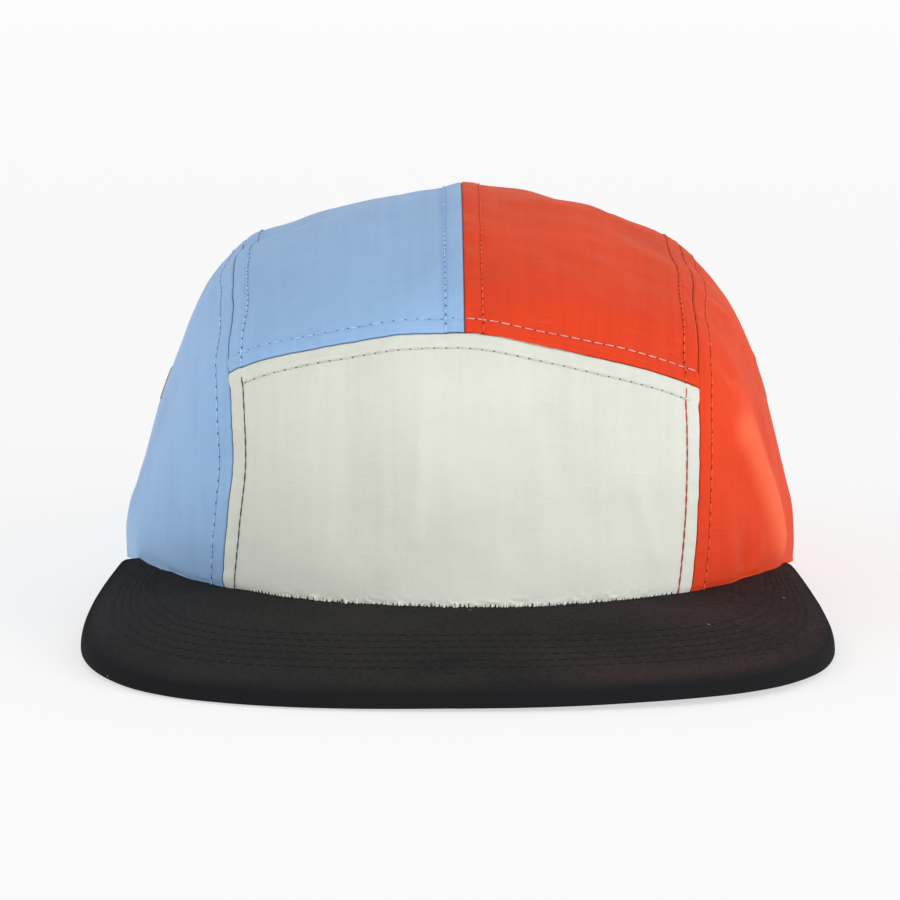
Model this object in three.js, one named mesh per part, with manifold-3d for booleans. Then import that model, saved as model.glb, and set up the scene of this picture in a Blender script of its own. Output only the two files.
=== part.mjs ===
// A five panel cap: a front panel, a top in two halves and two side panels round the hollow for the
// head, with a flat peak in front, a sweatband inside the rim, and a strap with a plain clasp
// across the opening at the back. Millimetres, +Z up. The peak points to -Y and the red panels are
// on the +X side. The cap stands on its back rim and on the front edge of its peak, with the origin
// on the table under its middle.

import * as THREE from "three";
import { mergeVertices } from "three/addons/utils/BufferGeometryUtils.js";
import Module from "manifold-3d";

const wasm = await Module();
wasm.setup();

// Sizes of the crown. Its two poles lie on the rim at the widest points of the sides, and every
// section across the crown is a hoop from one pole over to the other.

const crownHalfWidth = 85;
const frontReach = 100;
const backReach = 98;
const crownHeight = 102;
const clothThickness = 1.2;
const gap = 0.3;

// How high the peak holds the front of the rim above the table, and how much higher that is on the
// blue side and lower on the red one. riseAhead is where ahead of the poles it starts to come down,
// and flatBehind where behind them it lies flat.

const frontRise = 11;
const frontLean = 0.5;
const riseAhead = 28;
const flatBehind = 45;

// Seams. The side seams keep this distance from the middle plane in front and draw in towards the
// back. The centre seam wanders by this much to the red side where it starts.

const seamHalfWidthFront = 57.2;
const seamHalfWidthBack = 40;
const centreSeamShift = 1;

// Peak, from the front of the rim forwards, and outwards past the sides of the crown. It is sewn on
// a little to the blue side.

const peakLength = 65;
const peakOverhang = 6.8;
const peakShift = 1.2;
const peakThickness = 3.5;
const peakCornersAhead = 28;
const peakBulge = 1.2;
const peakEdgeRoll = 0.9;

// Sweatband, strap, clasp and the opening at the back.

const bandHeight = 32;
const bandThickness = 1.2;
const bandClearance = 0.5;
const openingHalfWidth = 33;
const openingHeight = 40;
const openingStraight = 12;
const strapWidth = 20;
const strapThickness = 1.6;
const strapSewnIn = 13;
const claspLength = 22;
const claspWall = 1.6;
const claspFit = 0.4;
const claspLift = 0.4;

// Eyelets, two in each side panel, at this height above the rim and these places ahead of the poles
// and behind.

const eyeletHeight = 48;
const eyeletAhead = 2;
const eyeletBehind = 42;
const eyeletBore = 5.2;
const eyeletBarrelWall = 0.6;
const eyeletFlangeWidth = 1.9;
const eyeletFlangeThickness = 0.6;

// The middle line of the crown, from the front rim over the top to the back rim. reach is a share
// of frontReach ahead of the poles, or of backReach behind them. height is a share of crownHeight.
// dome says how far the hoop has gone from the oval of the rim to its table below, crest how far
// from that table's front column to the columns of the top, and taper how far the side seams have
// drawn in. blue and red are how far each side seam wanders outwards there, as a share of its
// distance from the middle plane.

const stations = [
  { reach: -1.0, height: 0.0, dome: 0.0, crest: 0.0, taper: 0.0, blue: 0.03, red: -0.025 },
  { reach: -0.995, height: 0.215, dome: 0.35, crest: 0.0, taper: 0.0, blue: 0.012, red: 0.006 },
  { reach: -0.975, height: 0.43, dome: 0.6, crest: 0.0, taper: 0.0, blue: -0.012, red: 0.012 },
  { reach: -0.93, height: 0.63, dome: 0.8, crest: 0.0, taper: 0.0, blue: -0.002, red: 0.01 },
  { reach: -0.82, height: 0.785, dome: 0.9, crest: 0.25, taper: 0.0, blue: -0.004, red: 0.005 },
  { reach: -0.62, height: 0.885, dome: 1.0, crest: 0.7, taper: 0.0, blue: -0.01, red: 0.0 },
  { reach: -0.32, height: 0.96, dome: 1.0, crest: 1.0, taper: 0.0, blue: 0.0, red: 0.0 },
  { reach: 0.02, height: 1.0, dome: 1.0, crest: 1.0, taper: 0.05, blue: 0.0, red: 0.0 },
  { reach: 0.38, height: 0.95, dome: 1.0, crest: 0.8, taper: 0.2, blue: 0.0, red: 0.0 },
  { reach: 0.7, height: 0.79, dome: 0.8, crest: 0.4, taper: 0.45, blue: 0.0, red: 0.0 },
  { reach: 0.9, height: 0.51, dome: 0.5, crest: 0.0, taper: 0.75, blue: 0.0, red: 0.0 },
  { reach: 0.98, height: 0.255, dome: 0.2, crest: 0.0, taper: 0.92, blue: 0.0, red: 0.0 },
  { reach: 1.0, height: 0.0, dome: 0.0, crest: 0.0, taper: 1.0, blue: 0.0, red: 0.0 },
];
const lastStation = stations.length - 1;
const topStation = 7;

// The hoop, a row for each ten degrees round from the middle line to the pole: how high it still
// is, as a share of the middle's height, over the front panel and on the blue and the red side of
// the top. The two sides of the top fall off from a faint ridge on the centre seam.

const hoopStep = 10;
const hoop = [
  { front: 1.0, blue: 1.0, red: 1.0 },
  { front: 0.988, blue: 0.97, red: 0.975 },
  { front: 0.96, blue: 0.94, red: 0.945 },
  { front: 0.92, blue: 0.9, red: 0.9 },
  { front: 0.86, blue: 0.85, red: 0.84 },
  { front: 0.755, blue: 0.74, red: 0.735 },
  { front: 0.575, blue: 0.55, red: 0.565 },
  { front: 0.36, blue: 0.32, red: 0.32 },
  { front: 0.17, blue: 0.15, red: 0.135 },
  { front: 0.0, blue: 0.0, red: 0.0 },
];
const poleRound = 90;

// The arched seam over the front panel, from the blue side seam to the red one, as a place among
// the stations.

const archedSeam = [{ along: 3.5 }, { along: 3.5 }, { along: 3.58 }, { along: 3.4 }, { along: 3.38 }];

// The main folds and dents. Each runs from one place to another, given as shares of the half width,
// of the reach ahead or behind, and of the height. out is how far the cloth stands out, a share of
// the height and negative for a dent, and spread is how wide it runs out, a share of the same three
// sizes.

const folds = [
  { from: [-0.68, -0.78, 0.4], to: [-0.66, -0.76, 0.5], out: -0.012, spread: 0.1 },
  { from: [-0.97, -0.2, 0.12], to: [-0.99, 0.1, 0.06], out: 0.012, spread: 0.12 },
  { from: [-0.86, -0.42, 0.5], to: [-0.92, -0.2, 0.26], out: -0.012, spread: 0.14 },
  { from: [0.74, -0.6, 0.66], to: [0.9, -0.38, 0.2], out: 0.014, spread: 0.09 },
  { from: [0.84, -0.45, 0.62], to: [0.95, -0.22, 0.32], out: -0.014, spread: 0.09 },
  { from: [0.93, -0.18, 0.36], to: [0.98, -0.1, 0.2], out: 0.01, spread: 0.1 },
  { from: [-0.3, -0.97, 0.2], to: [-0.6, -0.8, 0.12], out: -0.008, spread: 0.16 },
  { from: [0.44, -0.9, 0.62], to: [0.52, -0.86, 0.5], out: -0.007, spread: 0.1 },
  { from: [-0.08, -0.98, 0.6], to: [-0.1, -1.0, 0.3], out: 0.006, spread: 0.14 },
];

// The outline of the peak, a row for each tenth of the way from its front to a rear corner. out is
// a share of the peak's half width and ahead a share of the way forward from the corners to the
// front. blue and red say how high the outer edge is on either side, from the table (0) up to the
// rim at the corner (1): the peak is a little twisted, with its red side off the table in front and
// lower behind.

const peakOutline = [
  { out: 0.0, ahead: 1.0, blue: 0.05, red: 0.05 },
  { out: 0.155, ahead: 0.998, blue: 0.03, red: 0.07 },
  { out: 0.305, ahead: 0.989, blue: 0.01, red: 0.1 },
  { out: 0.455, ahead: 0.97, blue: 0.0, red: 0.14 },
  { out: 0.6, ahead: 0.938, blue: 0.0, red: 0.16 },
  { out: 0.735, ahead: 0.887, blue: 0.0, red: 0.15 },
  { out: 0.855, ahead: 0.803, blue: 0.02, red: 0.12 },
  { out: 0.95, ahead: 0.67, blue: 0.08, red: 0.07 },
  { out: 0.993, ahead: 0.496, blue: 0.15, red: 0.06 },
  { out: 0.985, ahead: 0.277, blue: 0.44, red: 0.22 },
  { out: 0.93, ahead: 0.015, blue: 1.0, red: 0.85 },
];

// Steps of the meshes.

const frontAcross = 20;
const frontUp = 12;
const topAcross = 10;
const topAlong = 26;
const sideAcross = 15;
const sideAlong = 28;
const peakSteps = 40;
const archSteps = 16;
const bandSteps = 48;
const strapSteps = 16;
const claspSteps = 6;
const eyeletSides = 14;

const radians = THREE.MathUtils.degToRad;
const degrees = THREE.MathUtils.radToDeg;
const mix = THREE.MathUtils.lerp;

// The value of one column at a place among the rows of a table, on a smooth curve through all its
// rows.
function sample(rows, column, place) {
  const last = rows.length - 1;
  const row = Math.min(Math.max(Math.floor(place), 0), last - 1);
  const t = place - row;
  const b = rows[row][column];
  const c = rows[row + 1][column];
  const a = row > 0 ? rows[row - 1][column] : 2 * b - c;
  const d = row + 2 <= last ? rows[row + 2][column] : 2 * c - b;
  return b + 0.5 * t * (c - a + t * (2 * a - 5 * b + 4 * c - d + t * (3 * (b - c) + d - a)));
}

// The place between low and high where a test that starts false turns true.
function turningPlace(low, high, test) {
  for (let halving = 0; halving < 40; halving += 1) {
    const middle = (low + high) / 2;
    if (test(middle)) high = middle;
    else low = middle;
  }
  return (low + high) / 2;
}

// How high a hoop still is at a place round from the middle line, in degrees and negative on the
// blue side.
function hoopHeight(round, along) {
  const place = Math.abs(round) / hoopStep;
  const top = sample(hoop, round < 0 ? "blue" : "red", place);
  const domed = mix(sample(hoop, "front", place), top, sample(stations, "crest", along));
  return mix(Math.cos(radians(round)), domed, sample(stations, "dome", along));
}

function reachAt(along) {
  const reach = sample(stations, "reach", along);
  return reach * (reach < 0 ? frontReach : backReach);
}

function heightAt(along) {
  return sample(stations, "height", along) * crownHeight;
}

// The smooth crown on a level rim, before its folds.
function smoothCrown(round, along) {
  const share = hoopHeight(round, along);
  const x = Math.sin(radians(round)) * crownHalfWidth;
  return new THREE.Vector3(x, reachAt(along) * share, heightAt(along) * share);
}

function outward(round, along) {
  const roundStep = 0.4;
  if (poleRound - Math.abs(round) < roundStep) return new THREE.Vector3(Math.sign(round), 0, 0);
  const alongStep = 0.02;
  const before = Math.max(along - alongStep, 0);
  const after = Math.min(along + alongStep, lastStation);
  const across = smoothCrown(round + roundStep, along).sub(smoothCrown(round - roundStep, along));
  const forth = smoothCrown(round, after).sub(smoothCrown(round, before));
  const normal = across.cross(forth);
  if (along <= 0 || along >= lastStation) normal.z = 0;
  return normal.normalize();
}

function foldAt(point) {
  const reach = point.y < 0 ? frontReach : backReach;
  const share = new THREE.Vector3(point.x / crownHalfWidth, point.y / reach, point.z / crownHeight);
  const nearest = new THREE.Vector3();
  let out = 0;
  for (const fold of folds) {
    const line = new THREE.Line3(new THREE.Vector3(...fold.from), new THREE.Vector3(...fold.to));
    const away = line.closestPointToPoint(share, true, nearest).distanceTo(share) / fold.spread;
    out += fold.out * crownHeight * Math.exp(-away * away);
  }
  return out;
}

// The front of the rim stands up on the peak, and the crown above it is that much lower.
function riseAt(x, y) {
  const rise = frontRise - (frontLean * x) / crownHalfWidth;
  return rise * THREE.MathUtils.smoothstep(-y, -flatBehind, riseAhead);
}

// A point of the finished crown, this deep inside its outer face.
function crownPoint(round, along, depth = 0) {
  const point = smoothCrown(round, along);
  point.addScaledVector(outward(round, along), foldAt(point) - depth);
  point.z += riseAt(point.x, point.y) * (1 - point.z / crownHeight);
  return point;
}

// Round and along for a place on a side panel, from how far it is behind the poles and how high
// above the rim.
function placeOnSide(side, behind, height) {
  const along = turningPlace(0, lastStation, (s) => reachAt(s) * height > behind * heightAt(s));
  const round = turningPlace(0, poleRound, (r) => hoopHeight(side * r, along) * heightAt(along) < height);
  return [side * round, along];
}

// Round and along for a place at a height above the rim, seen from above at a bearing in degrees
// from straight ahead round to straight behind, positive on the red side.
function placeAtBearing(bearing, height) {
  const side = bearing < 0 ? -1 : 1;
  const turn = Math.abs(bearing);
  if (height <= 0) {
    const reach = turn < poleRound ? frontReach : backReach;
    const across = Math.sin(radians(turn)) * reach;
    const forth = Math.abs(Math.cos(radians(turn))) * crownHalfWidth;
    return [side * degrees(Math.atan2(across, forth)), turn < poleRound ? 0 : lastStation];
  }
  const first = turningPlace(0, topStation, (s) => heightAt(s) > height);
  const last = turningPlace(topStation, lastStation, (s) => heightAt(s) < height);
  const low = (r, s) => hoopHeight(side * r, s) * heightAt(s) < height;
  const roundAt = (s) => turningPlace(0, poleRound, (r) => low(r, s));
  const along = turningPlace(first, last, (s) => {
    const point = smoothCrown(roundAt(s), s);
    return degrees(Math.atan2(point.x, -point.y)) > turn;
  });
  return [side * roundAt(along), along];
}

// One closed body from points and triangles, with equal points joined, flattened triangles left out
// and its faces turned outwards.
function closedBody(geometry) {
  const bare = new THREE.BufferGeometry();
  bare.setAttribute("position", geometry.getAttribute("position"));
  bare.setIndex(geometry.getIndex());
  const merged = mergeVertices(bare, 1e-4);
  const index = merged.getIndex().array;
  const corners = [];
  const point = [new THREE.Vector3(), new THREE.Vector3(), new THREE.Vector3()];
  let volume = 0;
  for (let i = 0; i < index.length; i += 3) {
    const [a, b, c] = [index[i], index[i + 1], index[i + 2]];
    if (a === b || b === c || c === a) continue;
    corners.push(a, b, c);
    const position = merged.getAttribute("position");
    [a, b, c].forEach((corner, k) => point[k].fromBufferAttribute(position, corner));
    volume += point[0].dot(point[1].cross(point[2])) / 6;
  }
  merged.setIndex(volume < 0 ? corners.reverse() : corners);
  return merged;
}

// A closed sheet of columns by rows. place gives the point at a share across and a share along on
// face 0 or 1.
function sheet(columns, rows, place) {
  const positions = [];
  const triangles = [];
  const faceSize = (columns + 1) * (rows + 1);
  const corner = (face, i, j) => face * faceSize + i * (rows + 1) + j;
  for (const face of [0, 1]) {
    for (let i = 0; i <= columns; i += 1) {
      for (let j = 0; j <= rows; j += 1) positions.push(...place(i / columns, j / rows, face));
    }
  }
  for (let i = 0; i < columns; i += 1) {
    for (let j = 0; j < rows; j += 1) {
      const [a, b] = [corner(0, i, j), corner(0, i + 1, j)];
      const [c, d] = [corner(0, i + 1, j + 1), corner(0, i, j + 1)];
      triangles.push(a, b, c, a, c, d);
      triangles.push(faceSize + a, faceSize + c, faceSize + b, faceSize + a, faceSize + d, faceSize + c);
    }
  }
  const border = [];
  for (let i = 0; i < columns; i += 1) border.push(corner(0, i, 0));
  for (let j = 0; j < rows; j += 1) border.push(corner(0, columns, j));
  for (let i = columns; i > 0; i -= 1) border.push(corner(0, i, rows));
  for (let j = rows; j > 0; j -= 1) border.push(corner(0, 0, j));
  border.forEach((a, k) => {
    const b = border[(k + 1) % border.length];
    triangles.push(b, a, faceSize + a, b, faceSize + a, faceSize + b);
  });
  const geometry = new THREE.BufferGeometry();
  geometry.setAttribute("position", new THREE.Float32BufferAttribute(positions, 3));
  geometry.setIndex(triangles);
  return closedBody(geometry);
}

function toSolid(geometry) {
  const body = closedBody(geometry);
  const vertProperties = new Float32Array(body.getAttribute("position").array);
  const triVerts = new Uint32Array(body.getIndex().array);
  return new wasm.Manifold(new wasm.Mesh({ numProp: 3, vertProperties, triVerts }));
}

function cut(geometry, tools) {
  let solid = toSolid(geometry);
  for (const tool of tools) solid = solid.subtract(toSolid(tool));
  const mesh = solid.getMesh();
  const result = new THREE.BufferGeometry();
  result.setAttribute("position", new THREE.BufferAttribute(mesh.vertProperties, 3));
  result.setIndex(new THREE.BufferAttribute(mesh.triVerts, 1));
  return result;
}

const cap = new THREE.Group();
const standing = new THREE.Group();
cap.add(standing);

function addPiece(name, geometry, finish) {
  geometry.computeVertexNormals();
  const mesh = new THREE.Mesh(geometry, new THREE.MeshStandardMaterial(finish));
  mesh.name = name;
  standing.add(mesh);
  return mesh;
}

const blueNylon = { color: 0x8fb7e3, roughness: 0.75, metalness: 0 };
const redNylon = { color: 0xe25236, roughness: 0.75, metalness: 0 };
const creamNylon = { color: 0xdcded2, roughness: 0.8, metalness: 0 };
const blackTwill = { color: 0x2c2b2b, roughness: 0.9, metalness: 0 };
const blackWebbing = { color: 0x1f1f20, roughness: 0.85, metalness: 0 };
const blackPlastic = { color: 0x161617, roughness: 0.45, metalness: 0 };
const agedBrass = { color: 0x8a7350, roughness: 0.4, metalness: 1 };

// Crown panels. Each is cut to its seams less half a gap.

function seamRound(side, along, inset) {
  const halfWidth = mix(seamHalfWidthFront, seamHalfWidthBack, sample(stations, "taper", along));
  const wander = 1 + sample(stations, side < 0 ? "blue" : "red", along);
  return side * degrees(Math.asin((halfWidth * wander + inset) / crownHalfWidth));
}

function centreSeamRound(along, inset) {
  const shift = centreSeamShift * (1 - (2 * along) / lastStation);
  return degrees(Math.asin((shift + inset) / crownHalfWidth));
}

// The arched seam at a share of the way from the blue side seam to the red one, moved back by an
// inset.
function archedSeamAlong(share, inset) {
  const along = sample(archedSeam, "along", share * (archedSeam.length - 1));
  const step = 0.05;
  const stepLength = smoothCrown(0, along + step).distanceTo(smoothCrown(0, along - step)) / (2 * step);
  return along + inset / stepLength;
}

function clothPanel(columns, rows, place) {
  return sheet(columns, rows, (across, down, face) => {
    return crownPoint(...place(across, down), face * clothThickness);
  });
}

const frontPanel = clothPanel(frontAcross, frontUp, (across, up) => {
  const along = archedSeamAlong(across, -gap / 2) * up;
  return [mix(seamRound(-1, along, -gap / 2), seamRound(1, along, -gap / 2), across), along];
});
addPiece("front_panel", frontPanel, creamNylon);

// The opening at the back is an arch cut through the ends of both halves of the top.

const arch = new THREE.Shape();
arch.moveTo(-openingHalfWidth, -openingStraight);
arch.lineTo(openingHalfWidth, -openingStraight);
arch.lineTo(openingHalfWidth, openingStraight);
arch.absellipse(0, openingStraight, openingHalfWidth, openingHeight - openingStraight, 0, Math.PI);
const archCutter = new THREE.ExtrudeGeometry(arch, {
  depth: backReach,
  bevelEnabled: false,
  curveSegments: archSteps,
});
archCutter.rotateX(Math.PI / 2);
archCutter.translate(0, 1.5 * backReach, 0);

function topPanel(side) {
  return clothPanel(topAcross, topAlong, (across, back) => {
    const middle = (along) => centreSeamRound(along, side * (gap / 2));
    const seamShare = (1 + side * across) / 2;
    const front = archedSeamAlong(seamShare, gap / 2);
    const along = mix(front, lastStation, back);
    return [mix(middle(along), seamRound(side, along, -gap / 2), across), along];
  });
}
addPiece("top_panel_blue", cut(topPanel(-1), [archCutter]), blueNylon);
addPiece("top_panel_red", cut(topPanel(1), [archCutter]), redNylon);

// Side panels, each with two holes that its eyelets line.

const eyeletBarrelRadius = eyeletBore / 2 + eyeletBarrelWall;
const eyeletDrillLength = 8 * clothThickness;
const eyeletPlaces = { front: -eyeletAhead, rear: eyeletBehind };

function turnTo(normal) {
  return new THREE.Quaternion().setFromUnitVectors(new THREE.Vector3(0, 1, 0), normal);
}

function sidePanel(side) {
  const panel = clothPanel(sideAcross, sideAlong, (out, back) => {
    const along = back * lastStation;
    return [mix(seamRound(side, along, gap / 2), side * poleRound, out), along];
  });
  const drills = Object.values(eyeletPlaces).map((behind) => {
    const [round, along] = placeOnSide(side, behind, eyeletHeight);
    const drill = new THREE.CylinderGeometry(
      eyeletBarrelRadius + gap, eyeletBarrelRadius + gap, eyeletDrillLength, 2 * eyeletSides);
    drill.applyQuaternion(turnTo(outward(round, along)));
    return drill.translate(...crownPoint(round, along, clothThickness / 2));
  });
  return cut(panel, drills);
}
addPiece("side_panel_blue", sidePanel(-1), blueNylon);
addPiece("side_panel_red", sidePanel(1), redNylon);

// An eyelet is a barrel through the cloth with a flange outside and a rolled one inside, where the
// curved cloth bends towards it and needs twice the gap.
function eyelet() {
  const bore = eyeletBore / 2;
  const flange = bore + eyeletFlangeWidth;
  const chamfer = eyeletFlangeThickness / 3;
  const inside = -clothThickness - 2 * gap;
  const profile = [
    [bore, inside - eyeletFlangeThickness + chamfer],
    [bore + chamfer, inside - eyeletFlangeThickness],
    [flange, inside - eyeletFlangeThickness + chamfer],
    [flange, inside],
    [eyeletBarrelRadius, inside],
    [eyeletBarrelRadius, gap],
    [flange, gap],
    [flange - chamfer, gap + eyeletFlangeThickness - chamfer],
    [bore + chamfer, gap + eyeletFlangeThickness],
    [bore, gap + eyeletFlangeThickness - chamfer],
  ];
  const outline = [...profile, profile[0]].map(([radius, height]) => new THREE.Vector2(radius, height));
  return closedBody(new THREE.LatheGeometry(outline, eyeletSides));
}

for (const [side, sideName] of [[-1, "blue"], [1, "red"]]) {
  for (const [place, behind] of Object.entries(eyeletPlaces)) {
    const [round, along] = placeOnSide(side, behind, eyeletHeight);
    const ring = addPiece(`eyelet_${sideName}_${place}`, eyelet(), agedBrass);
    ring.position.copy(crownPoint(round, along));
    ring.quaternion.copy(turnTo(outward(round, along)));
  }
}

// The peak follows the rim between its rear corners. It runs in under the cloth and the sweatband,
// which stand on it, and outwards and down to its outline.

const bandDepth = clothThickness + bandClearance;
const peakTuck = bandDepth + bandThickness;
const peakCornerRound = degrees(Math.acos(peakCornersAhead / frontReach));
const peakHalfWidth = crownHalfWidth + peakOverhang;
const peakRows = [
  { out: 0.0, roll: 0 },
  { out: 0.2, roll: 0 },
  { out: 0.45, roll: 0 },
  { out: 0.7, roll: 0 },
  { out: 0.9, roll: 0 },
  { out: 0.985, roll: 0.15 },
  { out: 1.0, roll: 1 },
];

function peakSwell(out, ahead) {
  return peakBulge * Math.sin(Math.PI * out) * ahead;
}

function peakDepth(roll) {
  return peakThickness - 2 * roll * peakEdgeRoll;
}

// How high the outer edge's top must be for the underside of one row to touch the table.
function touchingTop({ out, roll }, rimTop, ahead) {
  const top = peakDepth(roll) + roll * peakEdgeRoll - peakSwell(out, ahead);
  return out > 0 ? (top - rimTop * (1 - out)) / out : 0;
}

function peakPoint(across, outShare, face) {
  const share = 2 * across - 1;
  const side = share < 0 ? -1 : 1;
  const rim = crownPoint(share * peakCornerRound, 0);
  rim.z -= gap;
  const row = Math.round(outShare * peakRows.length) - 1;
  if (row < 0) {
    const tucked = crownPoint(share * peakCornerRound, 0, peakTuck);
    return new THREE.Vector3(tucked.x, tucked.y, rim.z - face * peakThickness);
  }
  const { out, roll } = peakRows[row];
  const outline = Math.abs(share) * (peakOutline.length - 1);
  const ahead = sample(peakOutline, "ahead", outline);
  const edgeX = side * sample(peakOutline, "out", outline) * peakHalfWidth - peakShift;
  const edgeY = -peakCornersAhead - ahead * (frontReach + peakLength - peakCornersAhead);
  const cornerTop = crownPoint(side * peakCornerRound, 0).z - gap;
  const tableTop = Math.max(...peakRows.map((level) => touchingTop(level, rim.z, ahead)));
  const edgeTop = mix(tableTop, cornerTop, sample(peakOutline, side < 0 ? "blue" : "red", outline));
  const top = mix(rim.z, edgeTop, out) + peakSwell(out, ahead) - roll * peakEdgeRoll;
  return new THREE.Vector3(mix(rim.x, edgeX, out), mix(rim.y, edgeY, out), top - face * peakDepth(roll));
}
addPiece("peak", sheet(peakSteps, peakRows.length, peakPoint), blackTwill);

// A piece that follows the inside of the crown between two bearings, between two heights above the
// rim, and between two depths inside the outer face.
function insideStrip(steps, levels, bearings, heights, depths) {
  return sheet(steps, levels, (across, up, face) => {
    const place = placeAtBearing(mix(bearings[0], bearings[1], across), mix(heights[0], heights[1], up));
    return crownPoint(...place, depths[face]);
  });
}

// The strap runs across the opening and is sewn in beyond its sides, and the sweatband ends beside
// it.

const straightBehind = 2 * poleRound;
const bandFromStrap = 0.9;
const strapEnd = openingHalfWidth + strapSewnIn;
const strapBearing = degrees(Math.atan2(strapEnd, backReach));
const bandBearing = degrees(Math.atan2(strapEnd + bandFromStrap, backReach));
const strapDepth = clothThickness + gap;
const strapLift = claspLift + claspWall + claspFit;

const sweatband = insideStrip(
  bandSteps, 2, [bandBearing - straightBehind, straightBehind - bandBearing], [0, bandHeight],
  [bandDepth, bandDepth + bandThickness]);
addPiece("sweatband", sweatband, blackTwill);

// Across the back the bearing runs past straight behind, so a strip there is made of bearings on
// the red side that carry on round to the blue one.
function backStrip(steps, halfBearing, heights, depths) {
  return sheet(steps, 2, (across, up, face) => {
    const turn = mix(-halfBearing, halfBearing, across);
    const bearing = turn < 0 ? straightBehind + turn : turn - straightBehind;
    return crownPoint(...placeAtBearing(bearing, mix(heights[0], heights[1], up)), depths[face]);
  });
}

const strapHeights = [strapLift, strapLift + strapWidth];
const strapDepths = [strapDepth, strapDepth + strapThickness];
addPiece("back_strap", backStrip(strapSteps, strapBearing, strapHeights, strapDepths), blackWebbing);

// The clasp is a flat sleeve round the strap.

const widened = ([low, high], by) => [low - by, high + by];
const claspBearing = degrees(Math.atan2(claspLength / 2, backReach));
function claspSolid(steps, halfBearing, by) {
  return backStrip(steps, halfBearing, widened(strapHeights, by), widened(strapDepths, by));
}
const claspBlock = claspSolid(claspSteps, claspBearing, claspFit + claspWall);
const claspSlot = claspSolid(2 * claspSteps, 2 * claspBearing, claspFit);
addPiece("strap_clasp", cut(claspBlock, [claspSlot]), blackPlastic);

// The cap is moved so that the origin is on the table under the middle of its box.

const box = new THREE.Box3().setFromObject(cap, true);
const middle = box.getCenter(new THREE.Vector3());
standing.position.set(-middle.x, -middle.y, -box.min.z);

export default cap;
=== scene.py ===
import math

import bmesh
import bpy
import numpy as np
from mathutils import Matrix, Vector, noise


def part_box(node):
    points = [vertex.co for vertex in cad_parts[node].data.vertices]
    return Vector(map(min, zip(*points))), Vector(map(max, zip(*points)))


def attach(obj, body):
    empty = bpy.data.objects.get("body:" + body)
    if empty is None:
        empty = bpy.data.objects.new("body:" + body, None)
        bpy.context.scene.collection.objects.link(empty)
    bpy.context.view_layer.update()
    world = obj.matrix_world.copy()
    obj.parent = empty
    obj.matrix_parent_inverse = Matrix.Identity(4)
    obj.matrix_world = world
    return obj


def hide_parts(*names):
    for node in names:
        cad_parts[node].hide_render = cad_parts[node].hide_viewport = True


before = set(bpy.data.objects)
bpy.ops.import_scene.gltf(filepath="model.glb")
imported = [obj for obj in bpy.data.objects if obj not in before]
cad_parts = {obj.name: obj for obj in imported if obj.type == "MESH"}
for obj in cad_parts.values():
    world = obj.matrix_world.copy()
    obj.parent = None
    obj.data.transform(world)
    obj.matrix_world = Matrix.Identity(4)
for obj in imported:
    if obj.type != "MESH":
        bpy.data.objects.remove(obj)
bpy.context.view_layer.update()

# Front panel
# One piece of pale nylon between the side seams, sewn to the peak below and to the top along the arched
# seam. Its edges are folded in under the seams and stitched down beside them.

CROWN_HALF_WIDTH = 0.085
FRONT_REACH = 0.100
BACK_REACH = 0.098
CROWN_HEIGHT = 0.102
FRONT_RISE = 0.011
FRONT_LEAN = 0.0005
RISE_AHEAD = 0.028
FLAT_BEHIND = 0.045
PEAK_LENGTH = 0.065
PEAK_SHIFT = 0.0012
SEAM_FRONT = 0.0572
SEAM_BACK = 0.040
CENTRE_SEAM_SHIFT = 0.001
HOOP_STEP = 10
POLE = 90
CROWN_PLACE = np.array([PEAK_SHIFT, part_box("peak")[0][1] + FRONT_REACH + PEAK_LENGTH, 0.0])

# The middle line from the front rim over the top to the back rim, as shares of reach and height, how far the
# hoop across the crown has gone to its own shape there and to that of the top, how far the seams have drawn
# in, and how much the blue and the red one wander outwards.
STATIONS = {
    "reach": [-1, -0.995, -0.975, -0.93, -0.82, -0.62, -0.32, 0.02, 0.38, 0.7, 0.9, 0.98, 1],
    "height": [0, 0.215, 0.43, 0.63, 0.785, 0.885, 0.96, 1, 0.95, 0.79, 0.51, 0.255, 0],
    "dome": [0, 0.35, 0.6, 0.8, 0.9, 1, 1, 1, 1, 0.8, 0.5, 0.2, 0],
    "crest": [0, 0, 0, 0, 0.25, 0.7, 1, 1, 0.8, 0.4, 0, 0, 0],
    "taper": [0, 0, 0, 0, 0, 0, 0, 0.05, 0.2, 0.45, 0.75, 0.92, 1],
    "blue": [0.03, 0.012, -0.012, -0.002, -0.004, -0.01, 0, 0, 0, 0, 0, 0, 0],
    "red": [-0.025, 0.006, 0.012, 0.01, 0.005, 0, 0, 0, 0, 0, 0, 0, 0],
}
LAST = 12

# How high the hoop still is, each ten degrees round from the middle line to the pole on the rim.
HOOP = {
    "front": [1, 0.988, 0.96, 0.92, 0.86, 0.755, 0.575, 0.36, 0.17, 0],
    "blue": [1, 0.97, 0.94, 0.9, 0.85, 0.74, 0.55, 0.32, 0.15, 0],
    "red": [1, 0.975, 0.945, 0.9, 0.84, 0.735, 0.565, 0.32, 0.135, 0],
}
ARCHED_SEAM = {"along": [3.52, 3.57, 3.58, 3.39, 3.29]}

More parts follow.
